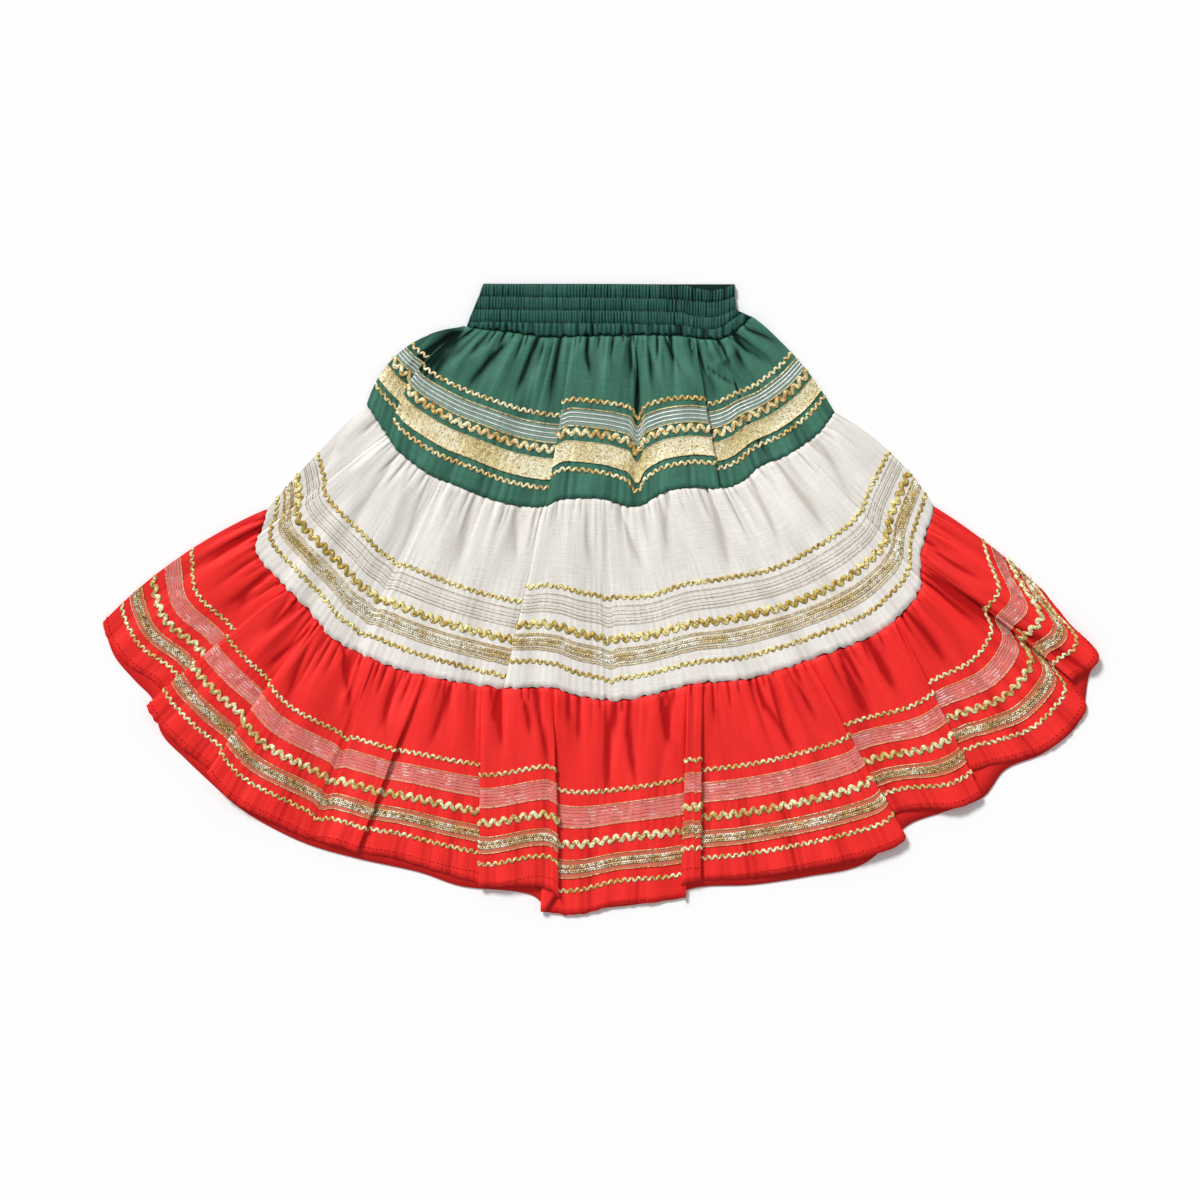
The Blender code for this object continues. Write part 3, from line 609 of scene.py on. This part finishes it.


# Shared effect: painted glints of metal thread, each small cell with its own brightness, in brighter patches
def glintGroup():
    inputs = {"Place": "Vector", "Grain": 1800.0, "Clump": 160.0, "Rarity": 0.2}
    outputs = {"Spark": 0.0, "Shade": 0.0, "Patch": 0.0}
    tree, come, leave = startTree("metalGlint", "ShaderNodeTree", inputs, outputs)
    cells = add(tree, "ShaderNodeTexVoronoi", {"Vector": come["Place"], "Scale": come["Grain"]})
    colour = add(tree, "ShaderNodeSeparateColor", {0: cells["Color"]})
    patch = remapped(tree, noise(tree, come["Place"], come["Clump"], 1.5), 0.4, 0.62, 0.12, 1.3)
    bright = remapped(tree, colour[0], come["Rarity"], maths(tree, "ADD", come["Rarity"], 0.45))
    fill(tree, leave, {"Spark": maths(tree, "MULTIPLY", bright, patch), "Shade": colour[1], "Patch": patch})
    return tree


weave, glint = weaveGroup(), glintGroup()


def startMaterial(name):
    material = bpy.data.materials.new(name)
    material.use_nodes = True
    return material, material.node_tree, material.node_tree.nodes["Principled BSDF"]


def bump(tree, height, distance):
    return add(tree, "ShaderNodeBump", {"Height": height, "Distance": distance, "Strength": 1.0})[0]


# Woven cloth: painted shade, darker in the hollows than on the crests, dye variation, weave and slubs
def clothMaterial(name, look):
    material, tree, shader = startMaterial(name)
    cloth = add(tree, "ShaderNodeUVMap", uv_map="cloth")[0]
    values = {"Cloth": cloth, "Threads per metre": look["threads"], "Unevenness": look["slub"]}
    threads = add(tree, "ShaderNodeGroup", values, node_tree=weave)
    mottle = maths(tree, "MULTIPLY", maths(tree, "SUBTRACT", noise(tree, cloth, 26.0, 4.0), 0.5), 0.5)
    colour = mixed(tree, maths(tree, "ADD", threads["Tone"], mottle), look["dark"], look["light"])
    # painted shade: the hollowShade attribute mixes the colour towards the deep colour
    hollowShade = add(tree, "ShaderNodeAttribute", attribute_name="hollowShade")["Fac"]
    deep = maths(tree, "POWER", hollowShade, 1.5)
    colour = mixed(tree, maths(tree, "MULTIPLY", deep, look["depth"]), colour, look["deep"])
    fill(tree, shader, {
        "Base Color": colour, "Roughness": remapped(tree, deep, 0.0, 1.0, look["roughness"], 0.95),
        "Specular IOR Level": look["specular"], "Normal": bump(tree, threads["Height"], look["bump"])})
    return material


# Metal thread: dark and light gold in grains, shiny, with painted glints, a painted highlight on one flank of
# each wave and painted shade on the flank that turns away
def metalMaterial(name, look):
    material, tree, shader = startMaterial(name)
    place = add(tree, "ShaderNodeTexCoord")["Object"]
    values = {"Place": place, "Grain": look["grain"], "Clump": look["clump"], "Rarity": look["rarity"]}
    glints = add(tree, "ShaderNodeGroup", values, node_tree=glint)
    flank = add(tree, "ShaderNodeAttribute", attribute_name="flank")["Fac"]
    away = maths(tree, "MULTIPLY", maths(tree, "MAXIMUM", maths(tree, "MULTIPLY", flank, -1.0), 0.0), 0.6)
    towardHighlight = maths(tree, "MULTIPLY", maths(tree, "MAXIMUM", flank, 0.0), glints["Patch"])
    shine = maths(tree, "ADD", glints["Spark"], maths(tree, "MULTIPLY", towardHighlight, 0.4))
    colour = mixed(tree, glints["Shade"], look["dark"], look["mid"])
    colour = mixed(tree, away, colour, look["dark"])
    colour = mixed(tree, maths(tree, "MULTIPLY", shine, look["spark"]), colour, look["light"])
    fill(tree, shader, {
        "Base Color": colour, "Roughness": look["roughness"], "Metallic": look["metallic"],
        "Normal": bump(tree, glints["Shade"], look["bump"])})
    return material


# Sheer ribbon: an open weave that lets the cloth below show
def sheerMaterial(name, look):
    material, tree, shader = startMaterial(name)
    cloth = add(tree, "ShaderNodeUVMap", uv_map="cloth")[0]
    values = {"Cloth": cloth, "Threads per metre": 1400.0, "Unevenness": 0.8}
    threads = add(tree, "ShaderNodeGroup", values, node_tree=weave)
    streak = streaks(tree, cloth, (55.0, 2100.0, 0.0))
    veil = maths(tree, "MULTIPLY", maths(tree, "SUBTRACT", streak, 0.5), 0.5)
    fill(tree, shader, {
        "Base Color": mixed(tree, streak, look["dark"], look["light"]), "Roughness": 0.5,
        "Specular IOR Level": 0.3, "Alpha": maths(tree, "ADD", look["alpha"], veil),
        "Normal": bump(tree, threads["Height"], 0.0001)})
    return material


# Cloth: roughness goes from its own to dull in the hollows; depth is how far the painted shade darkens them,
# and deep is the colour of that painted shade
satin = {"depth": 1.0, "roughness": 0.4, "specular": 0.18, "threads": 3000.0, "slub": 0.5, "bump": 0.00004}
looks = {
    "green": {**satin, "slub": 0.6, "dark": (0.024, 0.112, 0.073, 1), "light": (0.086, 0.272, 0.19, 1),
              "deep": (0.001, 0.012, 0.009, 1)},
    "waist": {**satin, "dark": (0.0055, 0.048, 0.037, 1), "light": (0.04, 0.155, 0.124, 1),
              "deep": (0.0005, 0.006, 0.005, 1)},
    "white": {"depth": 0.8, "roughness": 0.85, "specular": 0.2, "threads": 2200.0, "slub": 1.0, "bump": 0.00009,
              "dark": (0.79, 0.755, 0.7, 1), "light": (1.0, 0.97, 0.915, 1), "deep": (0.52, 0.475, 0.42, 1)},
    "red": {**satin, "depth": 0.92, "roughness": 0.5, "specular": 0.2, "threads": 2600.0,
            "dark": (0.8, 0.012, 0.011, 1), "light": (1.0, 0.038, 0.03, 1), "deep": (0.4, 0.002, 0.003, 1)},
}
# Metal: the others change what they have of their own
# light is the colour of the painted glints and highlights, spark how strongly they are painted; dark serves
# both the grains and the painted shade on the flank that turns away
gold = {"roughness": 0.36, "metallic": 0.15, "grain": 850.0, "clump": 60.0, "rarity": 0.38, "spark": 1.0,
        "bump": 0.0003, "dark": (0.24, 0.11, 0.015, 1), "mid": (1.0, 0.68, 0.19, 1),
        "light": (1.0, 0.98, 0.66, 1)}
metalLooks = {
    "goldThread": gold,
    "glitterWeave": {
        "roughness": 0.4, "grain": 1200.0, "clump": 26.0, "rarity": 0.2, "dark": (0.3, 0.2, 0.05, 1),
        "mid": (1.0, 0.84, 0.4, 1), "light": (1.0, 0.96, 0.72, 1)},
    "silverThread": {
        "roughness": 0.3, "grain": 300.0, "rarity": 0.1, "dark": (0.68, 0.66, 0.6, 1),
        "mid": (0.92, 0.9, 0.86, 1), "light": (1.0, 1.0, 0.98, 1)},
    "brightThread": {
        "roughness": 0.25, "grain": 750.0, "rarity": 0.4, "dark": (0.16, 0.08, 0.015, 1),
        "mid": (0.92, 0.62, 0.2, 1), "light": (1.0, 1.0, 0.84, 1)},
    "whiteBraid": {
        "roughness": 0.25, "grain": 800.0, "clump": 42.0, "rarity": 0.2, "dark": (0.34, 0.22, 0.05, 1),
        "mid": (0.95, 0.72, 0.28, 1), "light": (1.0, 1.0, 0.9, 1)},
    "oliveGold": {
        "clump": 48.0, "dark": (0.2, 0.115, 0.01, 1), "mid": (0.8, 0.55, 0.1, 1),
        "light": (1.0, 0.92, 0.42, 1)},
    "pinkThread": {
        "roughness": 0.3, "metallic": 0.1, "grain": 260.0, "clump": 75.0, "rarity": 0.5,
        "dark": (0.5, 0.09, 0.07, 1), "mid": (0.8, 0.26, 0.22, 1), "light": (1.0, 1.0, 0.97, 1)},
    "oliveThread": {
        "grain": 700.0, "spark": 0.8, "dark": (0.3, 0.23, 0.12, 1), "mid": (0.6, 0.52, 0.36, 1),
        "light": (1.0, 0.95, 0.78, 1)},
}
sheerLooks = {
    "green": {"alpha": 0.38, "dark": (0.3, 0.5, 0.4, 1), "light": (0.72, 0.88, 0.76, 1)},
    "white": {"alpha": 0.16, "dark": (0.74, 0.69, 0.56, 1), "light": (0.95, 0.92, 0.82, 1)},
    "braid": {"alpha": 0.5, "dark": (0.5, 0.14, 0.07, 1), "light": (0.85, 0.42, 0.26, 1)},
    "red": {"alpha": 0.36, "dark": (0.95, 0.34, 0.28, 1), "light": (1.0, 0.66, 0.56, 1)},
}
clothOf = {name: clothMaterial(name + "Cloth", look) for name, look in looks.items()}
metals = {name: metalMaterial(name, {**gold, **look}) for name, look in metalLooks.items()}
sheerOf = {name: sheerMaterial(name + "Veil", look) for name, look in sheerLooks.items()}
print("materials made")


# Ends a Geometry Nodes tree with real meshes and their material
def finishTree(tree, made, come, leave):
    real = add(tree, "GeometryNodeRealizeInstances", {0: made[0]})
    done = add(tree, "GeometryNodeSetMaterial", {"Geometry": real[0], "Material": come["Material"]})
    fill(tree, leave, {0: done[0]})
    return tree


# Geometry Nodes: a strand that follows a path, straight or swinging from side to side
def strandTree():
    tree, come, leave = startTree("strand", "GeometryNodeTree", {
        "Path": "Geometry", "Period": 0.006, "Swing": 0.002, "Turn": 0.0, "Width": 0.002, "Thickness": 0.0006,
        "Spacing": 0.0006, "Sides": 6, "Material": "Material"}, {"Strand": "Geometry"})
    curve = add(tree, "GeometryNodeMeshToCurve", {0: come["Path"]})
    values = {"Curve": curve[0], "Length": come["Spacing"]}
    even = add(tree, "GeometryNodeResampleCurve", values, mode="LENGTH")
    spot = add(tree, "GeometryNodeSplineParameter")
    turns = maths(tree, "DIVIDE", spot["Length"], come["Period"])
    angle = maths(tree, "MULTIPLY_ADD", turns, wholeTurn, come["Turn"])
    wave = maths(tree, "MULTIPLY", maths(tree, "SINE", angle), come["Swing"])
    side = add(tree, "GeometryNodeInputNamedAttribute", {"Name": "side"}, data_type="FLOAT_VECTOR")
    away = add(tree, "ShaderNodeVectorMath", {0: side[0], 3: wave}, operation="SCALE")
    moved = add(tree, "GeometryNodeSetPosition", {"Geometry": even[0], "Offset": away[0]})
    # flank marks the two sides of each wave, for the metal's painted highlight and shade
    swings = maths(tree, "GREATER_THAN", come["Swing"], 0.0001)
    flank = maths(tree, "MULTIPLY", maths(tree, "COSINE", angle), swings)
    marked = add(tree, "GeometryNodeStoreNamedAttribute", {
        "Geometry": moved[0], "Name": "flank", "Value": flank}, data_type="FLOAT")
    upright = add(tree, "GeometryNodeSetCurveNormal", {"Curve": marked[0]}, mode="Z_UP")
    ring = add(tree, "GeometryNodeCurvePrimitiveCircle", {"Resolution": come["Sides"], "Radius": 0.5})
    size = add(tree, "ShaderNodeCombineXYZ", {0: come["Width"], 1: come["Thickness"], 2: 1.0})
    shape = add(tree, "GeometryNodeTransform", {"Geometry": ring[0], "Scale": size[0]})
    swept = add(tree, "GeometryNodeCurveToMesh", {
        "Curve": upright[0], "Profile Curve": shape[0], "Fill Caps": True})
    return finishTree(tree, swept, come, leave)


# Geometry Nodes: short stitches laid along a path
def stitchTree():
    tree, come, leave = startTree("stitches", "GeometryNodeTree", {
        "Path": "Geometry", "Spacing": 0.0026, "Length": 0.0018, "Width": 0.0005, "Seed": 3,
        "Material": "Material"}, {"Stitches": "Geometry"})
    curve = add(tree, "GeometryNodeMeshToCurve", {0: come["Path"]})
    values = {"Curve": curve[0], "Length": come["Spacing"]}
    even = add(tree, "GeometryNodeCurveToPoints", values, mode="LENGTH")
    ball = add(tree, "GeometryNodeMeshIcoSphere", {"Radius": 0.5, "Subdivisions": 1})
    size = add(tree, "ShaderNodeCombineXYZ", {0: come["Width"], 1: come["Width"], 2: come["Length"]})
    vary = add(tree, "FunctionNodeRandomValue", {2: 0.8, 3: 1.1, "Seed": come["Seed"]}, data_type="FLOAT")
    scale = add(tree, "ShaderNodeVectorMath", {0: size[0], 3: vary[1]}, operation="SCALE")
    placed = add(tree, "GeometryNodeInstanceOnPoints", {
        "Points": even[0], "Instance": ball[0], "Rotation": even["Rotation"],
        "Scale": scale[0]})
    return finishTree(tree, placed, come, leave)


strands, stitches = strandTree(), stitchTree()


# An open path with the direction across it kept for the strands
def pathPiece(name, points, side):
    mesh = bpy.data.meshes.new(name)
    mesh.from_pydata((points * mm).tolist(), [(i, i + 1) for i in range(len(points) - 1)], [])
    made = mesh.attributes.new("side", "FLOAT_VECTOR", "POINT")
    made.data.foreach_set("vector", side.astype(np.float32).ravel())
    return newPiece(name, mesh)


# Runs a node tree on a path and leaves a plain mesh
def grown(piece, tree, values):
    modifier = piece.modifiers.new("grown", "NODES")
    modifier.node_group = tree
    ids = {item.name: item.identifier for item in tree.interface.items_tree if item.in_out == "INPUT"}
    for key, value in values.items():
        modifier[ids[key]] = value
    return settle(piece)


def joined(name, parts):
    bpy.ops.object.select_all(action="DESELECT")
    for part in parts:
        part.select_set(True)
    bpy.context.view_layer.objects.active = parts[0]
    if len(parts) > 1:
        bpy.ops.object.join()
    parts[0].name = name
    parts[0].data.name = name
    return parts[0]


def pathOn(grid, name, height, lift):
    points = onPanel(grid, trimDepths(grid, height, 0, 1), lift)[:, 0]
    across = unit(onPanel(grid, trimDepths(grid, height + 1, 0, 1), lift)[:, 0] - points)
    keep = np.concatenate([[True], np.linalg.norm(np.diff(points, axis=0), axis=1) > 0.05])
    return pathPiece(name, points[keep], across[keep])


# Strands below are in metres. The trims of the hidden back are coarser
ricrac = {
    "narrow": {"Period": 0.005, "Swing": 0.0012, "Width": 0.0019, "Thickness": 0.0008, "Spacing": 0.00058},
    "wide": {"Period": 0.0073, "Swing": 0.0022, "Width": 0.0032, "Thickness": 0.001, "Spacing": 0.0008},
}


def ricracPiece(grid, name, height, kind, metal, hidden):
    sizes = {**ricrac[kind], "Sides": 6, "Material": metals[metal]}
    if hidden:
        sizes.update({"Sides": 4, "Spacing": 1.8 * sizes["Spacing"], "Thickness": 0.0006})
    return grown(pathOn(grid, name, height, 0.6), strands, sizes)


# Height of a ribbon off its cloth at a share of its half width from the middle, its edges free
def ribbonLift(share):
    return 0.4 + 0.5 * np.abs(share) ** 3


def bandPiece(grid, name, height, width, material, rows=7):
    lift = ribbonLift(np.linspace(-1, 1, rows))[None, :, None]
    points = onPanel(grid, trimDepths(grid, height, width / 2, rows), lift)
    return gridMesh(name, points, grid["along"] * mm, np.linspace(0, width * mm, rows), material)


# Metal threads of the sheer ribbon: offset from its middle as a share of half its width, and kind
ribbonLines = {
    "green": ((-0.9, "gold"), (-0.42, "silver"), (0.02, "silver"), (0.46, "silver"), (0.88, "gold")),
    "white": ((-0.92, "olive"), (-0.6, "olive"), (-0.28, "silver"), (0.06, "olive"), (0.42, "silver"),
              (0.9, "olive")),
    "red": ((-0.93, "gold"), (-0.6, "pink"), (-0.28, "pink"), (0.04, "pink"), (0.36, "pink"), (0.66, "pink"),
            (0.93, "gold")),
}
ribbonThreads = {"green": 0.95, "white": 0.42, "red": 0.5}      # widths
braid = {
    "edges": {"white": (-0.95, -0.72, 0.72, 0.95), "red": (-0.95, 0.95)},
    "veil": {"white": "white", "red": "braid"},
    "metal": {"white": "whiteBraid", "red": "brightThread"},
    # of each strand the offset from the middle, turn and period
    "strands": ((-1.5, 0.0, 0.0037), (-1.5, 3.14, 0.0037), (1.5, 1.6, 0.0034), (1.5, 4.7, 0.0034)),
}


# A ribbon with metal threads along it
def ribbonPiece(grid, name, height, width, material, lines, thick, hidden):
    parts = [bandPiece(grid, name, height, width, material)]
    half = width / 2
    for share, metal in lines:
        path = pathOn(grid, name + "Line", height + share * half, ribbonLift(share) + 0.2)
        parts.append(grown(path, strands, {
            "Period": 0.01, "Swing": 0.0, "Width": thick * mm, "Thickness": 0.00025,
            "Spacing": 0.006 if hidden else 0.0026, "Sides": 4, "Material": metals[metal + "Thread"]}))
    return joined(name, parts)


def braidPiece(grid, name, height, width, colour, hidden):
    lines = [(share, "gold") for share in braid["edges"][colour]]
    parts = [ribbonPiece(grid, name, height, width, sheerOf[braid["veil"][colour]], lines, 0.6, hidden)]
    for offset, turn, period in braid["strands"]:
        parts.append(grown(pathOn(grid, name + "Chain", height + offset, 0.8), strands, {
            "Period": period, "Swing": 0.0013, "Turn": turn, "Width": 0.0011, "Thickness": 0.0006,
            "Spacing": 0.0012 if hidden else 0.00092, "Sides": 4, "Material": metals[braid["metal"][colour]]}))
    return joined(name, parts)


def trimPiece(grid, name, trim, colour, hidden=False):
    kind, height, width = trim
    if kind.endswith("ricrac"):
        size = "wide" if kind == "middle_ricrac" else "narrow"
        return ricracPiece(grid, name, height, size, "oliveGold" if colour == "white" else "goldThread", hidden)
    if kind == "metallic_braid":
        return braidPiece(grid, name, height, width, colour, hidden)
    if kind == "sheer_ribbon":
        material, lines, thick = sheerOf[colour], ribbonLines[colour], ribbonThreads[colour]
    else:
        material, lines, thick = metals["glitterWeave"], ((-0.96, "gold"), (0.96, "gold")), 0.5
    return ribbonPiece(grid, name, height, width, material, lines, thick, hidden)


hem = {"height": 4.2, "stitches": {"Spacing": 0.003, "Length": 0.0021, "Width": 0.0009}}
stitchThread = clothMaterial("stitchThread", {
    **looks["red"], "dark": (0.3, 0.002, 0.003, 1), "light": (0.42, 0.006, 0.006, 1)})


def dressTier(name, above):
    tier = tiers[name]
    grid = panelGrid(tier, True, above)
    across = grid["depth"] * tier["depth"] * mm
    # painted shade: the troughs and the listed shades darken the cloth's colour
    hollowShade = {"hollowShade": np.clip(hollows(grid["points"]) + grid["shade"], 0, 1)}
    panel = gridMesh(name + "TierFront", grid["points"], grid["along"] * mm, across, clothOf[name], hollowShade)
    thicken(panel, layout["cloth"])
    for trim in tier["trims"]:
        piece = trimPiece(grid, name + "_" + trim[0] + "_dressed", trim, name)
        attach(piece, "root")
        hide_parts(name + "_" + trim[0])
    if name == "red":
        path = pathOn(grid, "hemStitches", hem["height"], 0.3)
        stitch = grown(path, stitches, {**hem["stitches"], "Material": stitchThread})
        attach(stitch, "root")
    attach(panel, "root")
    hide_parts(name + "_tier_front")
    back = panelGrid(tier, False)
    across = back["depth"] * tier["depth"] * mm
    # The hidden back gets an even painted shade
    hollowShade = {"hollowShade": np.full(back["points"].shape[:2], 0.5)}
    backPanel = gridMesh(name + "TierBack", back["points"], back["along"] * mm, across, clothOf[name], hollowShade)
    thicken(backPanel, layout["cloth"])
    backTrims = []
    for i, trim in enumerate(tier["trims"]):
        backTrims.append(trimPiece(back, name + "Back" + str(i), trim, name, hidden=True))
    backTrim = joined(name + "BackTrims", backTrims)
    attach(backTrim, "root")
    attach(backPanel, "root")
    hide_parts(name + "_tier_back")
    shown = grid["shown"] > 0.5
    order = np.argsort(grid["edgeAt"][shown])
    return grid["edgeAt"][shown][order], grid["edgeUp"][shown][order]


# Waistband: the lines between its channels, top to bottom
bandLines = (
    ((-84, 227.5), (60, 226.8), (68, 224.6), (83, 223.2), (97, 226.8)),
    ((-87, 218.9), (59, 216.7), (68, 215.3), (85, 215.3), (97, 218.9)),
    ((-91, 209.5), (59, 207.4), (67, 204.5), (85, 204.5), (98, 209.5)),
    ((-94.6, 200.4), (59, 198), (67, 195.8), (85, 195.8), (100.8, 206.2)),
    waistSeam,
)
backBandLines = (((-81, 227.4), (97, 227.4)), ((-87, 209.5), (97, 209.5)), waistSeam)
band = {
    "channels": 4, "columns": 760, "backColumns": 240, "rowsPerChannel": 8, "backRows": 3, "cloth": 0.6,
    "ribSpacing": 2.1, "rib": 0.85, "puff": 1.1, "seed": 5,
    "inside": 1.5, "wall": 0.9,      # height of its inside and of its wall
    # the lower edge's waves: height, length, turn
    "sag": ((0.5, 5.3, 1.0), (0.45, 8.1, 2.2), (0.5, 13.0, 0.4)),
}


def bandGrid(front):
    share = np.linspace(0, 1, band["columns" if front else "backColumns"])
    lines = []
    for line in map(Outline, bandLines if front else backBandLines):
        lines.append(line.at(line.length * share))
    channels = band["channels"]
    rows = np.linspace(0, channels, channels * band["rowsPerChannel" if front else "backRows"] + 1)
    spots = np.linspace(0, len(lines) - 1, len(rows))
    low = np.minimum(spots.astype(int), len(lines) - 2)
    part = (spots - low)[:, None, None]
    stack = np.array(lines)
    plan = stack[low] * (1 - part) + stack[low + 1] * part
    plan = np.swapaxes(plan, 0, 1)
    wide = alongLine(lines[-1])
    inChannel = rows - np.floor(rows)
    last = np.clip(rows - channels + 1, 0, 1) ** 3
    if front:
        sag = sum(high * np.sin(roughTurn * plan[:, -1, 0] / long + turn) for high, long, turn in band["sag"])
        plan[:, :, 1] += sag[:, None] * last
    puff = np.sin(np.pi * inChannel) ** 0.4
    ribs = np.zeros((len(share), len(rows)))
    rng = np.random.RandomState(band["seed"])
    start = 100      # left of the band's middle, where the ribs begin
    for channel in range(channels):
        lowest = channel == channels - 1      # its ribs are wider apart, higher and looser
        inside = np.floor(rows - 1e-6).clip(0) == channel
        spacing = band["ribSpacing"] * (1.7 if lowest else 1.0)
        loose = 2.4 if lowest else 1.3
        count = int(1.3 * wide[-1] / spacing)
        places = np.cumsum(spacing * (1 + loose * rng.uniform(-0.15, 0.15, count)))
        heights = (0.85 + loose * rng.uniform(-0.3, 0.3, count)) * (1.3 if lowest else 1.0)
        lean = loose * rng.uniform(-0.3, 0.3, count)
        here = plan[:, inside, 0, None] + start - places - lean * (rows[inside] - channel)[None, :, None]
        ribs[:, inside] = 2 * (heights * np.exp(-(here / (0.36 * spacing)) ** 2)).sum(2) - 0.8
    drift = np.interp(plan[:, :, 0] + start, np.cumsum(rng.uniform(2, 9, 60)) - 10, rng.uniform(0.45, 1.5, 60))
    ribs = ribs * drift
    up = band["rib"] * ribs * (0.3 + 0.7 * puff)[None, :]
    if front:
        # one dent near the right side, with a swell beside it
        bend = -0.9 * np.exp(-0.5 * ((wide - 158) / 2.6) ** 2) + 0.5 * np.exp(-0.5 * ((wide - 150) / 6) ** 2)
        up = band["inside"] + band["wall"] + band["puff"] * puff[None, :] + up + bend[:, None]
    else:
        up = layout["backHeight"] + 0.4 * up + 0 * puff[None, :]
    points = np.dstack([plan[:, :, 0] - layout["middle"][0], plan[:, :, 1] - layout["middle"][1], up])
    if not front:
        points, ribs = points[::-1], ribs[::-1]
    return points, wide, ribs, (1 - puff)[None, :] ** 2


def dressBand():
    rows = (True, "waistbandShirred", "waistband_front"), (False, "waistbandBack", "waistband_back")
    for front, name, node in rows:
        points, wide, ribs, lineShade = bandGrid(front)
        across = np.linspace(0, 0.038, points.shape[1])
        # painted shade: darker to the right, most at the upper right
        innerShade = smoothStep((points[:, :, 0] - 20) / 50) * (0.25 + smoothStep((points[:, :, 1] - 205) / 14))
        # painted shade and highlight: rib crests lighter, grooves and channel lines darker; the back band
        # evenly dark with painted shade
        hollowShade = np.clip(0.35 - 0.8 * ribs + 0.6 * lineShade + 0.4 * innerShade, 0, 1) if front else 0 * ribs + 0.9
        piece = gridMesh(name, points, wide * mm, across, clothOf["waist"], {"hollowShade": hollowShade})
        thicken(piece, band["cloth"])
        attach(piece, "root")
        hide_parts(node)
        print(name, "made")


dressBand()
above = None
for tierName in ("green", "white", "red"):
    above = dressTier(tierName, above)
    print(tierName, "tier made")

# Floor, light and camera: the camera stands at this height in metres and sees this width
studio = {"floor": (0.95, 0.95, 0.95, 1), "sky": 0.42, "sun": 3.0, "softness": 16, "sunFrom": (-0.6, 0.95, 1.0),
          "height": 2.0, "frame": 0.864, "sensor": 36}


def makeStudio():
    bpy.ops.mesh.primitive_plane_add(size=30.0, location=(0, 0, 0))
    floor = bpy.context.object
    floor.name = "floor"
    material, tree, shader = startMaterial("paleFloor")
    grain = add(tree, "ShaderNodeTexNoise", {"Scale": 30.0, "Detail": 4.0})[0]
    pale = studio["floor"]
    darker = tuple(0.98 * x for x in pale[:3]) + (1,)
    fill(tree, shader, {"Base Color": mixed(tree, grain, pale, darker), "Roughness": 0.9})
    floor.data.materials.append(material)
    world = bpy.data.worlds.new("studio")
    bpy.context.scene.world = world
    world.use_nodes = True
    sky = world.node_tree.nodes["Background"].inputs
    sky[0].default_value = (1, 1, 1, 1)
    sky[1].default_value = studio["sky"]
    sun = bpy.data.lights.new("key", "SUN")
    sun.energy = studio["sun"]
    sun.angle = math.radians(studio["softness"])
    lamp = newPiece("key", sun)
    lamp.rotation_euler = Vector(studio["sunFrom"]).to_track_quat("Z", "Y").to_euler()
    camera = bpy.data.cameras.new("camera")
    camera.sensor_width = studio["sensor"]
    camera.lens = studio["sensor"] * (studio["height"] - layout["low"] * mm) / studio["frame"]
    eye = newPiece("camera", camera)
    eye.location = (-layout["middle"][0] * mm, -layout["middle"][1] * mm, studio["height"])
    bpy.context.scene.camera = eye
    bpy.context.scene.view_settings.view_transform = "Standard"


makeStudio()
print("studio made")
